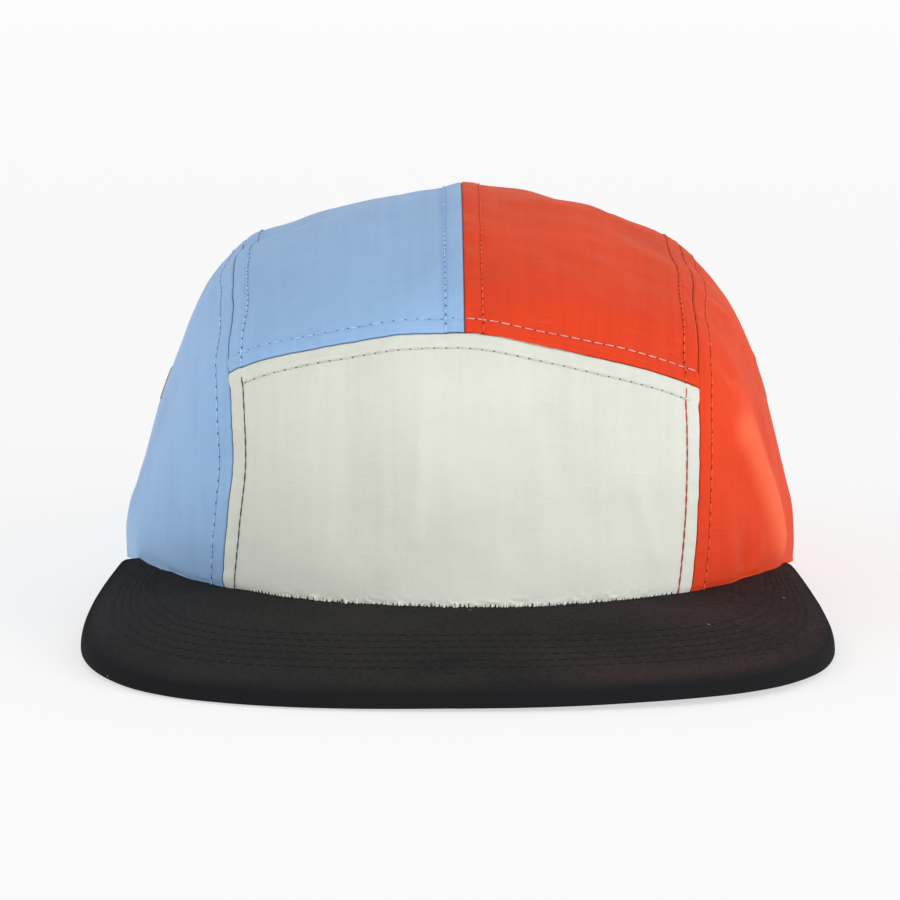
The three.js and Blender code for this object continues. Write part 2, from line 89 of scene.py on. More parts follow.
# Large folds and dents: from, to, how far out and how wide, as shares of the crown's sizes.
FOLDS = [
    ((-0.68, -0.78, 0.4), (-0.66, -0.76, 0.5), -0.012, 0.1),
    ((-0.97, -0.2, 0.12), (-0.99, 0.1, 0.06), 0.012, 0.12),
    ((-0.86, -0.42, 0.5), (-0.93, -0.16, 0.24), -0.014, 0.14),
    ((-0.93, -0.05, 0.6), (-0.82, -0.05, 0.78), -0.012, 0.15),
    ((0.56, -0.1, 0.9), (0.66, -0.05, 0.82), -0.016, 0.13),
    ((-0.45, 0.0, 0.95), (-0.6, 0.0, 0.88), -0.014, 0.1),
    ((0.24, 0.0, 0.985), (0.4, 0.0, 0.96), 0.006, 0.1),
    ((0.79, -0.61, 0.42), (0.92, -0.36, 0.08), 0.02, 0.06),
    ((0.86, -0.42, 0.6), (0.95, -0.2, 0.34), -0.008, 0.08),
    ((0.93, -0.18, 0.36), (0.98, -0.1, 0.2), 0.006, 0.1),
    ((0.75, -0.63, 0.3), (0.81, -0.56, 0.06), -0.017, 0.055),
    ((-0.5, -0.9, 0.12), (0.5, -0.9, 0.12), 0.006, 0.1),
    ((0.44, -0.9, 0.62), (0.52, -0.86, 0.5), -0.007, 0.1),
    ((-0.08, -0.98, 0.6), (-0.1, -1.0, 0.3), 0.006, 0.14),
]

# Small creases, the same way.
CREASES = [
    ((-0.11, -0.98, 0.58), (-0.13, -1.0, 0.2), 0.0037, 0.025),
    ((0.2, -0.96, 0.6), (0.3, -0.95, 0.35), -0.0034, 0.04),
    ((0.5, -0.88, 0.3), (0.56, -0.86, 0.12), 0.0051, 0.03),
    ((-0.5, -0.88, 0.6), (-0.56, -0.86, 0.4), 0.0034, 0.03),
    ((-0.8, -0.46, 0.5), (-0.84, -0.42, 0.25), 0.0076, 0.035),
    ((-0.86, -0.3, 0.4), (-0.93, -0.25, 0.15), -0.0068, 0.04),
    ((-0.68, -0.3, 0.78), (-0.8, -0.16, 0.6), 0.0051, 0.03),
    ((0.72, -0.36, 0.76), (0.82, -0.24, 0.56), 0.0085, 0.022),
    ((0.76, -0.28, 0.74), (0.86, -0.12, 0.54), 0.0076, 0.02),
    ((0.71, -0.42, 0.7), (0.79, -0.38, 0.5), 0.0068, 0.022),
    ((0.74, -0.66, 0.62), (0.84, -0.52, 0.3), 0.0065, 0.02),
    ((0.79, -0.6, 0.55), (0.9, -0.42, 0.16), 0.006, 0.022),
    ((0.7, -0.66, 0.36), (0.76, -0.6, 0.1), -0.0065, 0.03),
]


def column(table, name, place):
    """A column of a table at places among its rows, on a smooth curve through them all."""
    rows = np.array(table[name], float)
    rows = np.concatenate([[2 * rows[0] - rows[1]], rows, [2 * rows[-1] - rows[-2]]])
    row = np.clip(np.floor(place).astype(int), 0, len(rows) - 4)
    t = place - row
    a, b, c, d = rows[row], rows[row + 1], rows[row + 2], rows[row + 3]
    return b + 0.5 * t * (c - a + t * (2 * a - 5 * b + 4 * c - d + t * (3 * (b - c) + d - a)))


def smooth_step(value, low, high):
    """From 0 at low to 1 at high, smoothly."""
    share = np.clip((value - low) / (high - low), 0, 1)
    return share * share * (3 - 2 * share)


def mix(low, high, share):
    return low + (high - low) * share


def smooth_crown(turn, along):
    """The crown on a level rim. turn goes round each hoop in degrees, and along from front to back."""
    place = np.abs(turn) / HOOP_STEP
    top = np.where(turn < 0, column(HOOP, "blue", place), column(HOOP, "red", place))
    domed = mix(column(HOOP, "front", place), top, column(STATIONS, "crest", along))
    share = mix(np.cos(np.radians(turn)), domed, column(STATIONS, "dome", along))
    reach = column(STATIONS, "reach", along)
    reach = reach * np.where(reach < 0, FRONT_REACH, BACK_REACH)
    height = column(STATIONS, "height", along) * CROWN_HEIGHT
    return np.stack([np.sin(np.radians(turn)) * CROWN_HALF_WIDTH, reach * share, height * share], -1)


def outward(turn, along):
    """The way straight out of the smooth crown, level on its rim and sideways at the poles."""
    turn_step, along_step = 0.4, 0.02
    across = smooth_crown(turn + turn_step, along) - smooth_crown(turn - turn_step, along)
    before = np.maximum(along - along_step, 0)
    after = np.minimum(along + along_step, LAST)
    normal = np.cross(across, smooth_crown(turn, after) - smooth_crown(turn, before))
    normal[..., 2] = np.where((along <= 0) | (along >= LAST), 0, normal[..., 2])
    normal /= np.maximum(np.linalg.norm(normal, axis=-1, keepdims=True), 1e-12)
    at_pole = (POLE - np.abs(turn) < turn_step)[..., None]
    return np.where(at_pole, np.sign(turn)[..., None] * np.array([1.0, 0, 0]), normal)


def fold_out(points, folds):
    """How far the folds of a table stand out at points of the smooth crown."""
    reach = np.where(points[..., 1] < 0, FRONT_REACH, BACK_REACH)
    sizes = [np.full_like(reach, CROWN_HALF_WIDTH), reach, np.full_like(reach, CROWN_HEIGHT)]
    share = points / np.stack(sizes, -1)
    out = np.zeros(points.shape[:-1])
    for start, end, height, spread in folds:
        start, way = np.array(start), np.array(end) - np.array(start)
        near = np.clip(((share - start) @ way) / (way @ way), 0, 1)
        away = np.linalg.norm(share - start - near[..., None] * way, axis=-1) / spread
        out += height * CROWN_HEIGHT * np.exp(-away * away)
    return out


def crown_point(turn, along, out=0.0):
    """Points of the finished crown in the cap's own frame, raised by out from its outer face."""
    points = smooth_crown(turn, along)
    points = points + outward(turn, along) * (fold_out(points, FOLDS) + out)[..., None]
    rise = FRONT_RISE - FRONT_LEAN * points[..., 0] / CROWN_HALF_WIDTH
    rise = rise * smooth_step(-points[..., 1], -FLAT_BEHIND, RISE_AHEAD)
    points[..., 2] += rise * (1 - points[..., 2] / CROWN_HEIGHT)
    return points + CROWN_PLACE


def side_seam(side, along):
    """Turn of the seam above a side panel, the blue one (side -1) or the red one (side 1)."""
    half_width = mix(SEAM_FRONT, SEAM_BACK, column(STATIONS, "taper", along))
    wander = np.where(np.asarray(side) < 0, column(STATIONS, "blue", along), column(STATIONS, "red", along))
    return side * np.degrees(np.arcsin(half_width * (1 + wander) / CROWN_HALF_WIDTH))


def centre_seam(along):
    """Turn of the seam between the blue and the red top panel."""
    shift = CENTRE_SEAM_SHIFT * (1 - 2 * along / LAST)
    return np.degrees(np.arcsin(shift / CROWN_HALF_WIDTH))


def arched_seam(turn):
    """Along of the seam between the front panel and the top."""
    share = (np.sin(np.radians(turn)) * CROWN_HALF_WIDTH / SEAM_FRONT + 1) / 2
    return column(ARCHED_SEAM, "along", np.clip(share, 0, 1) * 4)


# Cloth at a seam: it turns in by SEAM_DEPTH, stands up over its folded edge as far as the row of stitches,
# and is pulled in and a little puckered there. Creases fade out before it.
SEAM_DEPTH = 0.00034
SEAM_TURN = 0.0003
FOLDED_EDGE = 0.0003
STITCH_FROM_SEAM = 0.0045
FOLDED_EDGE_END = (STITCH_FROM_SEAM - 0.0004, STITCH_FROM_SEAM + 0.0012)
STITCH_PULL = 0.00022
STITCH_PULL_WIDTH = 0.0006
SEAM_PUCKER = 0.00022
SEAM_PUCKER_WIDTH = 0.006
CREASE_FROM_SEAM = 0.014

# Soft dents all over the cloth: how far out and how long.
BROAD_DENT = (0.0006, 0.024)
SMALL_DENT = (0.00018, 0.009)
UPRIGHT_DENT = (0.0007, 0.011)
UPRIGHT = np.array([1, 1, 0.25])
PUCKER_LENGTH = 0.0028

# Cloth at the rim: gathered where the peak is lapped over the front panel, and sunk into the seam with the
# peak and, further, beside the peak's corners. Pairs are where a change starts and ends, ahead of the poles.
FRONT_STATIONS = 3
PEAK_LAP = 0.0015
LAP_HIDDEN = 0.8
PUCKER_PITCH = 0.0024
PUCKER_LEAN = 0.2
PUCKER_CHANCE = 6
PUCKER_OUT = 0.0009
PUCKER_HEIGHT = 0.0018
GATHERED = (0.080, 0.093)
RIM_TURN = 0.0007
RIM_TURN_END = 60
RIM_SINK = 0.0006
RIM_SINK_HEIGHT = 0.003
OVER_PEAK = (0.023, 0.029)
CORNER_SINK = 0.0016
CORNER_SINK_HEIGHT = 0.008
BEHIND_PEAK = (-0.022, 0.004)
BESIDE_PEAK = (0.024, 0.034)
ABOVE_TABLE = 0.0002
FAR = 1.0


def apart(turn, along, other_turn, other_along):
    """Distances between places on the smooth crown."""
    return np.linalg.norm(smooth_crown(turn, along) - smooth_crown(other_turn, other_along), axis=-1)


def seam_distances(turn, along):
    """How far places are from the side seam, the arched seam and the centre seam."""
    side = np.where(turn < 0, -1, 1)
    to_side = apart(turn, along, side_seam(side, along), along)
    arch = arched_seam(turn)
    between = np.abs(turn) <= np.abs(side_seam(side, along)) + 0.01
    to_arch = np.where(between, apart(turn, along, turn, arch), FAR)
    to_centre = np.where(between & (along > arch - 0.001), apart(turn, along, centre_seam(along), along), FAR)
    return to_side, to_arch, to_centre


def ripple(points, size, shift=0.0):
    """Smooth chance bumps, between about -0.5 and 0.5, of a size in metres."""
    flat = points.reshape(-1, 3) / size + shift
    return np.array([noise.noise(Vector(p)) for p in flat]).reshape(points.shape[:-1])


def bell(distance, width):
    """1 at no distance, and down to nothing some widths away."""
    return np.exp(-((distance / width) ** 2))


def height_in_front(turn, along):
    """How far places on the front are from the rim, along the cloth."""
    return np.where(along < FRONT_STATIONS, apart(turn, along, turn, 0 * along), FAR)


def cloth_relief(turn, along):
    """How far the cloth stands out: folded edges, pulled stitches, puckers along the seams, soft dents."""
    points = smooth_crown(turn, along)
    out = BROAD_DENT[0] * ripple(points, BROAD_DENT[1], 3.0)
    out = out + SMALL_DENT[0] * ripple(points, SMALL_DENT[1], 7.0)
    out = out + UPRIGHT_DENT[0] * ripple(points * UPRIGHT, UPRIGHT_DENT[1], 5.0)
    pucker = ripple(points, PUCKER_LENGTH, 11.0)
    distances = seam_distances(turn, along)
    out = out + fold_out(points, CREASES) * smooth_step(distances[0], STITCH_FROM_SEAM, CREASE_FROM_SEAM)
    for distance in distances:
        out = out - SEAM_DEPTH * bell(distance, SEAM_TURN)
        out = out + FOLDED_EDGE * (1 - smooth_step(distance, *FOLDED_EDGE_END))
        out = out - STITCH_PULL * bell(distance - STITCH_FROM_SEAM, STITCH_PULL_WIDTH)
        out = out + SEAM_PUCKER * pucker * bell(distance, SEAM_PUCKER_WIDTH)
    above_rim = np.where(along < FRONT_STATIONS, height_in_front(turn, along) - PEAK_LAP * LAP_HIDDEN, FAR)
    wave = np.pi * (points[..., 0] + PUCKER_LEAN * above_rim) / PUCKER_PITCH + PUCKER_CHANCE * pucker
    gathers = np.sin(wave) ** 2 * smooth_step(-points[..., 1], *GATHERED)
    out = out + PUCKER_OUT * (gathers * (0.6 + pucker) - 0.3) * bell(above_rim, PUCKER_HEIGHT)
    return out - SEAM_DEPTH * bell(above_rim, RIM_TURN) * (np.abs(turn) < RIM_TURN_END)


def surface(turn, along):
    """Points on the face of the cloth. Its lower edge goes down into the seam with the peak."""
    points = crown_point(turn, along, cloth_relief(turn, along))
    ahead = -smooth_crown(turn, along)[..., 1]
    over_peak = RIM_SINK * smooth_step(ahead, *OVER_PEAK)
    over_peak = over_peak * bell(height_in_front(turn, along), RIM_SINK_HEIGHT)
    at_corner = CORNER_SINK * smooth_step(ahead, *BEHIND_PEAK) * (1 - smooth_step(ahead, *BESIDE_PEAK))
    above_edge = np.minimum(apart(turn, along, turn, 0 * along), apart(turn, along, turn, 0 * along + LAST))
    points[..., 2] -= over_peak + at_corner * bell(above_edge, CORNER_SINK_HEIGHT)
    points[..., 2] = np.maximum(points[..., 2], ABOVE_TABLE)
    return points


def spaced(length, edge, fine, coarse):
    """Shares of a length for the lines of a mesh, close together within an edge's width of both ends."""
    steps = max(round(edge / fine), 1)
    middle = max(round((length - 2 * edge) / coarse), 1)
    return np.concatenate([
        np.linspace(0, edge, steps, endpoint=False),
        np.linspace(edge, length - edge, middle, endpoint=False),
        np.linspace(length - edge, length, steps + 1),
    ]) / length


CLOTH_THICKNESS = 0.0009
EDGE_GAP = 0.00018

# Lengths on the crown of one degree of turn and one station, and how close the lines of the mesh are in a
# zone beside each seam.
DEGREE = 0.00148
STATION = 0.0215
SEAM_ZONE = 0.006
SEAM_MESH = 0.0003
CUT_STEP = 0.0006
CUT_ROUNDS = 6


def make_piece(name, bm, material, node=None):
    """A piece from a bmesh, fixed to the cap, in place of a node of the frame where one is named."""
    mesh = bpy.data.meshes.new(name)
    bm.to_mesh(mesh)
    bm.free()
    mesh.shade_smooth()
    piece = bpy.data.objects.new(name, mesh)
    bpy.context.collection.objects.link(piece)
    piece.data.materials.append(material)
    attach(piece, "root")
    if node:
        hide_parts(node)
    return piece


MILLIMETRES = 1000


def cloth_grid(across, along, place, trim=None):
    """A grid of cloth over the crown, with the cloth's own measure as its UV map.

    place gives turn and along for shares across and along, and trim how far a point is outside a cut edge.
    """
    bm = bmesh.new()
    bmesh.ops.create_grid(bm, x_segments=len(across) - 1, y_segments=len(along) - 1, size=0.5, calc_uvs=True)
    grid = np.array([v.co for v in bm.verts])
    columns = np.rint((grid[:, 0] + 0.5) * (len(across) - 1)).astype(int)
    rows = np.rint((grid[:, 1] + 0.5) * (len(along) - 1)).astype(int)
    turn, way = place(across[columns], along[rows])
    if trim:
        inside = trim(turn, way) < 0
        number = bm.verts.layers.int.new("number")
        for n, v in enumerate(bm.verts):
            v[number] = n
        lost = [f for f in bm.faces if sum(inside[v[number]] for v in f.verts) > 2]
        old_edge = {v[number] for v in bm.verts if v.is_boundary}
        bmesh.ops.delete(bm, geom=lost, context="FACES")
        kept = [v[number] for v in bm.verts]
        cut_edge = np.array([
            v.is_boundary and (i not in old_edge or inside[i]) for v, i in zip(bm.verts, kept)])
        turn, way = turn[kept], way[kept]
        bm.verts.layers.int.remove(number)
        bm.verts.index_update()
        # The ragged edge that is left moves on to the cut in a few rounds of short steps.
        turn_step, way_step, least_slope = 0.05, 0.005, 0.003
        for _ in range(CUT_ROUNDS):
            away = trim(turn, way)
            by_turn = (trim(turn + turn_step, way) - away) / turn_step / DEGREE
            by_way = (trim(turn, way + way_step) - away) / way_step / STATION
            slope = by_turn ** 2 + by_way ** 2 + least_slope
            away = np.clip(away, -CUT_STEP, CUT_STEP)
            turn = np.where(cut_edge, turn - away * by_turn / slope / DEGREE, turn)
            way = np.clip(np.where(cut_edge, way - away * by_way / slope / STATION, way), 0, LAST)
    points = surface(turn, way)
    for v, point in zip(bm.verts, points):
        v.co = point
    uv = bm.loops.layers.uv.new("UVMap")
    # seam and fold carry the distance to the nearest seam and the height of folds, for the painted seam
    # shadow and the painted highlight and shade on folds.
    seam = bm.verts.layers.float.new("seam")
    fold = bm.verts.layers.float.new("fold")
    smooth = smooth_crown(turn, way)
    raised = fold_out(smooth, FOLDS) + fold_out(smooth, CREASES)
    for v, near, height in zip(bm.verts, np.min(seam_distances(turn, way), axis=0), raised):
        v[seam], v[fold] = near * MILLIMETRES, height * MILLIMETRES
    flat = np.stack([turn * DEGREE, way * STATION], -1)
    for face in bm.faces:
        for loop in face.loops:
            loop[uv].uv = flat[loop.vert.index]
    return bm


def add_thickness(piece, thickness):
    """Cloth, webbing or plastic of a thickness, laid inside the face of a piece."""
    solid = piece.modifiers.new("thickness", "SOLIDIFY")
    solid.thickness = thickness
    solid.offset = -1
    return piece


class Shade:
    """A socket in a material, so that sums over a surface can be written as sums."""

    def __init__(self, tree, socket):
        self.tree, self.socket = tree, socket

    def node(self, kind, settings, inputs, output=0):
        """A node of a kind, with its settings, the values or links of its inputs, and one of its outputs."""
        node = self.tree.nodes.new(kind)
        for key, value in settings.items():
            setattr(node, key, value)
        for key, value in inputs.items():
            if isinstance(value, Shade):
                self.tree.links.new(value.socket, node.inputs[key])
            else:
                node.inputs[key].default_value = value
        return Shade(self.tree, node.outputs[output])

    def beside(self, output):
        """Another output of this socket's node."""
        return Shade(self.tree, self.socket.node.outputs[output])

    def math(self, operation, first, second=0.0):
        return self.node("ShaderNodeMath", {"operation": operation}, {0: first, 1: second})

    def __add__(self, other):
        return self.math("ADD", self, other)

    def __sub__(self, other):
        return self.math("SUBTRACT", self, other)

    def __rsub__(self, other):
        return self.math("SUBTRACT", other, self)

    def __mul__(self, other):
        return self.math("MULTIPLY", self, other)

    __radd__, __rmul__ = __add__, __mul__

    def sine(self):
        return self.math("SINE", self)

    def between(self, low, high):
        """From 0 at low to 1 at high, smoothly."""
        return self.node(
            "ShaderNodeMapRange", {"interpolation_type": "SMOOTHSTEP"},
            {"Value": self, "From Min": low, "From Max": high, "To Min": 0.0, "To Max": 1.0})

    def blend(self, first, second):
        """A colour, from first to second by this socket."""
        return self.node("ShaderNodeMix", {"data_type": "RGBA"}, {0: self, 6: first, 7: second}, output=2)

    def own_place(self):
        """Object coordinates, which are places in the cap's frame."""
        return self.node("ShaderNodeTexCoord", {}, {}, output=3)

    def parts(self):
        """The first part of this vector, with the others beside it."""
        return self.node("ShaderNodeSeparateXYZ", {}, {0: self})

    def cloudy(self, scale, detail):
        """Chance values over the place or the UV map that this socket gives."""
        return self.node("ShaderNodeTexNoise", {}, {"Vector": self, "Scale": scale, "Detail": detail})

    def relief(self, strength, distance):
        """A normal for a surface that stands out by this socket."""
        return self.node("ShaderNodeBump", {}, {"Height": self, "Strength": strength, "Distance": distance})


def new_material(name, roughness, sheen=0.0, metallic=0.0, specular=0.5):
    """A material with its shader and one empty socket to start sums from."""
    material = bpy.data.materials.new(name)
    material.use_nodes = True
    tree = material.node_tree
    shader = next(n for n in tree.nodes if n.type == "BSDF_PRINCIPLED")
    shader.inputs["Roughness"].default_value = roughness
    shader.inputs["Sheen Weight"].default_value = sheen
    shader.inputs["Sheen Roughness"].default_value = 0.45
    shader.inputs["Metallic"].default_value = metallic
    shader.inputs["Specular IOR Level"].default_value = specular
    return material, shader, Shade(tree, None)


def feed(material, shader, sockets):
    """Links what changes over a surface to the shader's sockets."""
    for name, value in sockets.items():
        material.node_tree.links.new(value.socket, shader.inputs[name])


def grey(value):
    return (value, value, value, 1.0)


def darker(colour, factor):
    return tuple(factor * c for c in colour[:3]) + (1.0,)


WEAVE_PITCH = 0.0005
# Heights over which the painted light from the paper fades out low on the cap.
LOW_ON_CAP = (0.010, 0.036)


def woven_nylon(name, colour, deep, raised, sheen, tint=(1.0, 1.0, 1.0, 1.0), low=0.0):
    """Fine plain weave, with chance thick threads both ways, soft crumples and a shadow in the seams.

    The cloth is between two colours, deep and colour, and nearer a third, raised, on some thick threads.
    On the crests of folds raised is a painted highlight, and their hollows get painted shade.
    low says how much raised is painted on low on the cap, as painted light from the paper.
    """
    material, shader, start = new_material(name, 0.72, sheen, specular=0.2)
    shader.inputs["Sheen Tint"].default_value = tint
    uv = start.node("ShaderNodeUVMap", {"uv_map": "UVMap"}, {})
    place = start.own_place()
    across = uv.parts()
    pitch = 2 * math.pi / WEAVE_PITCH
    weave = (across * pitch).sine() * (across.beside(1) * pitch).sine()

    def threads(scale, shift):
        stretched = uv.node("ShaderNodeMapping", {}, {"Vector": uv, "Scale": scale, "Location": shift})
        return stretched.cloudy(1.0, 2.0)

    warp = threads((2100, 80, 1), (0, 0, 0))
    weft = threads((80, 2100, 1), (5, 3, 0))
    streak = threads((380, 16, 1), (9, 1, 0))
    cloud = place.cloudy(26.0, 3.0)
    crumple = place.cloudy(170.0, 3.0)
    near = place.node("ShaderNodeAttribute", {"attribute_name": "seam"}, {}, output=2)
    tone = cloud * 0.45 + (warp + weft) * 0.13 + streak * 0.28 + weave * 0.02
    cloth = tone.between(0.3, 0.62).blend(deep, colour)
    cloth = (weft.between(0.6, 0.72) * 0.16).blend(cloth, raised)
    # Painted highlight on the crests of folds and creases, and painted shade in their hollows.
    fold = place.node("ShaderNodeAttribute", {"attribute_name": "fold"}, {}, output=2)
    cloth = (fold.between(0.1, 2.0) * 0.9).blend(cloth, raised)
    cloth = ((fold * -1.0).between(0.3, 2.6) * 0.5).blend(cloth, darker(deep, 0.86))
    # Painted light: low on the cap the cloth is painted nearer raised, as light from the paper.
    above_table = place.parts().beside(2)
    cloth = ((1 - above_table.between(*LOW_ON_CAP)) * low).blend(cloth, raised)
    shadow = 1 - near.between(0.08, 0.3)
    cloth = shadow.blend(cloth, darker(deep, 0.5))
    bump = (weave * 0.12 + (warp + weft) * 0.3 + crumple * 1.4).relief(0.55, 0.00025)
    feed(material, shader, {"Base Color": cloth, "Roughness": 0.66 + cloud * 0.16, "Normal": bump})
    return material


# The cream front is painted lighter low on the cap (low), as painted light from the paper.
cream_nylon = woven_nylon(
    "cream_nylon", (0.728, 0.745, 0.667, 1), (0.665, 0.68, 0.60, 1), (0.86, 0.875, 0.795, 1), 0.05, low=0.6)

FRONT_WIDTH = 0.128
FRONT_HEIGHT = 0.072

front_across = spaced(FRONT_WIDTH, SEAM_ZONE, SEAM_MESH, 0.00055)
front_up = spaced(FRONT_HEIGHT, SEAM_ZONE, SEAM_MESH, 0.0009)


def front_place(across, up):
    along = arched_seam(mix(side_seam(-1, up * 0), side_seam(1, up * 0), across)) * up
    along = along - EDGE_GAP * up / STATION
    return mix(side_seam(-1, along), side_seam(1, along), across), along


front_cloth = cloth_grid(front_across, front_up, front_place)
front_panel = make_piece("front_panel_cloth", front_cloth, cream_nylon, node="front_panel")
add_thickness(front_panel, CLOTH_THICKNESS)

# Top panels
# Two pieces of nylon, blue and red, that meet on the centre seam. They run from the arched seam in front back
# over the crown to the rim, where an arch is cut out of them above the strap and hemmed.

blue_nylon = woven_nylon(
    "blue_nylon", (0.32, 0.515, 0.80, 1), (0.27, 0.45, 0.73, 1), (0.38, 0.57, 0.82, 1), 0.12)
red_nylon = woven_nylon(
    "red_nylon", (0.80, 0.056, 0.012, 1), (0.69, 0.042, 0.009, 1), (0.98, 0.155, 0.062, 1), 0.12,
    tint=(1.0, 0.4, 0.15, 1))
CLOTHS = {"blue": (-1, blue_nylon), "red": (1, red_nylon)}

OPENING_HALF_WIDTH = 0.033
OPENING_HEIGHT = 0.040
OPENING_STRAIGHT = 0.012
TOP_STATION = 7
ARCH_END = 3.5
TOP_WIDTH = 0.062
TOP_LENGTH = 0.210


def outside_arch(turn, along):
    """How far places at the back are outside the arch, and a full length elsewhere."""
    points = smooth_crown(turn, along)
    x, z = np.abs(points[..., 0]), np.maximum(points[..., 2] - OPENING_STRAIGHT, 0)
    tall = OPENING_HEIGHT - OPENING_STRAIGHT
    oval = np.hypot(x / OPENING_HALF_WIDTH, z / tall) - 1
    slope = np.hypot(x / OPENING_HALF_WIDTH ** 2, z / tall ** 2) / np.maximum(oval + 1, 1e-6)
    return np.where(along > TOP_STATION, oval / np.maximum(slope, 1.0), FAR)


top_across = spaced(TOP_WIDTH, SEAM_ZONE, SEAM_MESH, 0.0011)
top_along = spaced(TOP_LENGTH, SEAM_ZONE, SEAM_MESH, 0.0009)
for colour, (side, material) in CLOTHS.items():

    def top_place(across, back):
        share = across if side > 0 else 1 - across
        front = arched_seam(side * share * side_seam(1, ARCH_END + 0 * back))
        along = mix(front, float(LAST), back)
        return mix(centre_seam(along), side_seam(side, along), share), along

    cloth = cloth_grid(top_across, top_along, top_place, trim=outside_arch)
    panel = make_piece(f"top_panel_{colour}_cloth", cloth, material, node=f"top_panel_{colour}")
    add_thickness(panel, CLOTH_THICKNESS)

# Side panels
# A half oval of nylon on each side, blue and red, from the side seam down to the rim, with holes for two
# eyelets. It is sewn to the front and top panels along the seam, and turned in at the rim.

SIDE_WIDTH = 0.100
SIDE_LENGTH = 0.270
EYELET_HOLE = 0.0033
EYELETS = ("front", "rear")
SAME_PLACE = 2e-6

# Turns and alongs where an eyelet is looked for: from, to and how many.
SEARCH_TURNS = (20, 88, 273)
SEARCH_ALONGS = (1.5, 11, 381)


def middle_of(node):
    """The middle of a node's box in the frame."""
    low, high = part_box(node)
    return (np.array(low) + np.array(high)) / 2


def nearest_place(point, side):
    """Turn and along of the place on a side of the crown that is nearest to a point."""
    turn, along = np.meshgrid(side * np.linspace(*SEARCH_TURNS), np.linspace(*SEARCH_ALONGS))
    away = np.linalg.norm(crown_point(turn, along) - point, axis=-1)
    best = np.unravel_index(np.argmin(away), away.shape)
    return turn[best], along[best]


side_out = spaced(SIDE_WIDTH, SEAM_ZONE, SEAM_MESH, 0.0013)
side_along = spaced(SIDE_LENGTH, SEAM_ZONE, 2 * SEAM_MESH, 0.0010)
for colour, (side, material) in CLOTHS.items():

    def side_place(across, back):
        along = back * LAST
        share = across if side > 0 else 1 - across
        return mix(side_seam(side, along), float(side * POLE), share), along

    holes = [nearest_place(middle_of(f"eyelet_{colour}_{which}"), side) for which in EYELETS]

    def outside_holes(turn, along):
        return np.min([apart(turn, along, *hole) for hole in holes], axis=0) - EYELET_HOLE

    cloth = cloth_grid(side_out, side_along, side_place, trim=outside_holes)
    bmesh.ops.remove_doubles(cloth, verts=cloth.verts[:], dist=SAME_PLACE)
    panel = make_piece(f"side_panel_{colour}_cloth", cloth, material, node=f"side_panel_{colour}")
    add_thickness(panel, CLOTH_THICKNESS)

# Peak
# A stiff board covered in black twill, sewn on under the front of the rim, with rows of stitches that follow
# its edge.

PEAK_OVERHANG = 0.0068
PEAK_THICKNESS = 0.0035
PEAK_CORNERS_AHEAD = 0.028
PEAK_BULGE = 0.0012
PEAK_AHEAD = 0.0015
SEAM_GAP = 0.0003
PEAK_OUTLINE = {
    "out": [0, 0.155, 0.305, 0.455, 0.6, 0.735, 0.855, 0.95, 0.993, 0.985, 0.93],
    "ahead": [1, 0.998, 0.989, 0.97, 0.938, 0.887, 0.803, 0.67, 0.496, 0.277, 0.015],
    "blue": [0.05, 0.03, 0.01, 0, 0, 0, 0.02, 0.08, 0.15, 0.44, 1],
    "red": [0.05, 0.07, 0.1, 0.14, 0.16, 0.15, 0.12, 0.07, 0.06, 0.22, 0.85],
}
PEAK_CORNER = math.degrees(math.acos(PEAK_CORNERS_AHEAD / FRONT_REACH))


def rim_point(share):
    """Points on the rim, from the peak's blue corner (share -1) to its red one (share 1)."""
    turn = share * PEAK_CORNER
    return crown_point(turn, 0 * turn) - CROWN_PLACE


def peak_middle(share, out):
    """Points half way through the peak's board, from the rim (out 0) to its outer edge (out 1)."""
    rim = rim_point(share)
    place = np.abs(share) * 10
    ahead = column(PEAK_OUTLINE, "ahead", place)
    side = np.where(share < 0, -1, 1)
    edge_x = side * column(PEAK_OUTLINE, "out", place) * (CROWN_HALF_WIDTH + PEAK_OVERHANG) - PEAK_SHIFT
    edge_y = -PEAK_CORNERS_AHEAD - ahead * (FRONT_REACH + PEAK_LENGTH + PEAK_AHEAD - PEAK_CORNERS_AHEAD)
    corner = rim_point(side * 1.0)[..., 2] - SEAM_GAP
    raised = np.where(share < 0, column(PEAK_OUTLINE, "blue", place), column(PEAK_OUTLINE, "red", place))
    edge_z = mix(PEAK_THICKNESS, corner, raised)
    seam_z = rim[..., 2] - SEAM_GAP + PEAK_LAP * (1 - share ** 2)
    z = mix(seam_z, edge_z, out) + PEAK_BULGE * np.sin(np.pi * out) * ahead
    x, y = mix(rim[..., 0], edge_x, out), mix(rim[..., 1], edge_y, out)
    return np.stack([x, y, z - PEAK_THICKNESS / 2], -1) + CROWN_PLACE


TWILL_PITCH = 0.0009
black_twill, twill_shader, start = new_material("black_twill", 0.95, 0.0, specular=0.08)
place = start.own_place()
twill_x = place.parts()
rib = ((twill_x + twill_x.beside(1)) * (2 * math.pi / TWILL_PITCH)).sine()
slub = place.cloudy(900.0, 3.0)
cloud = place.cloudy(30.0, 4.0)
lint = place.node("ShaderNodeTexVoronoi", {"feature": "F1"}, {"Vector": place, "Scale": 95.0})
fluff = place.cloudy(240.0, 2.0)
fleck = (1 - lint.between(0.02, 0.06)) * fluff.between(0.52, 0.6)
# Painted reflection of the side panels: the twill is painted pinker towards the red side and bluer towards
# the blue side.
twill_red_reflection = twill_x.between(-0.02, 0.09).blend((0.032, 0.030, 0.0262, 1), (0.052, 0.0300, 0.0310, 1))
twill_panel_reflections = (twill_x * -1.0).between(0.02, 0.085).blend(twill_red_reflection, (0.0285, 0.028, 0.0325, 1))
cloth = (cloud * 0.45 + slub * 0.55).between(0.35, 0.68).blend(twill_panel_reflections, grey(0.0165))
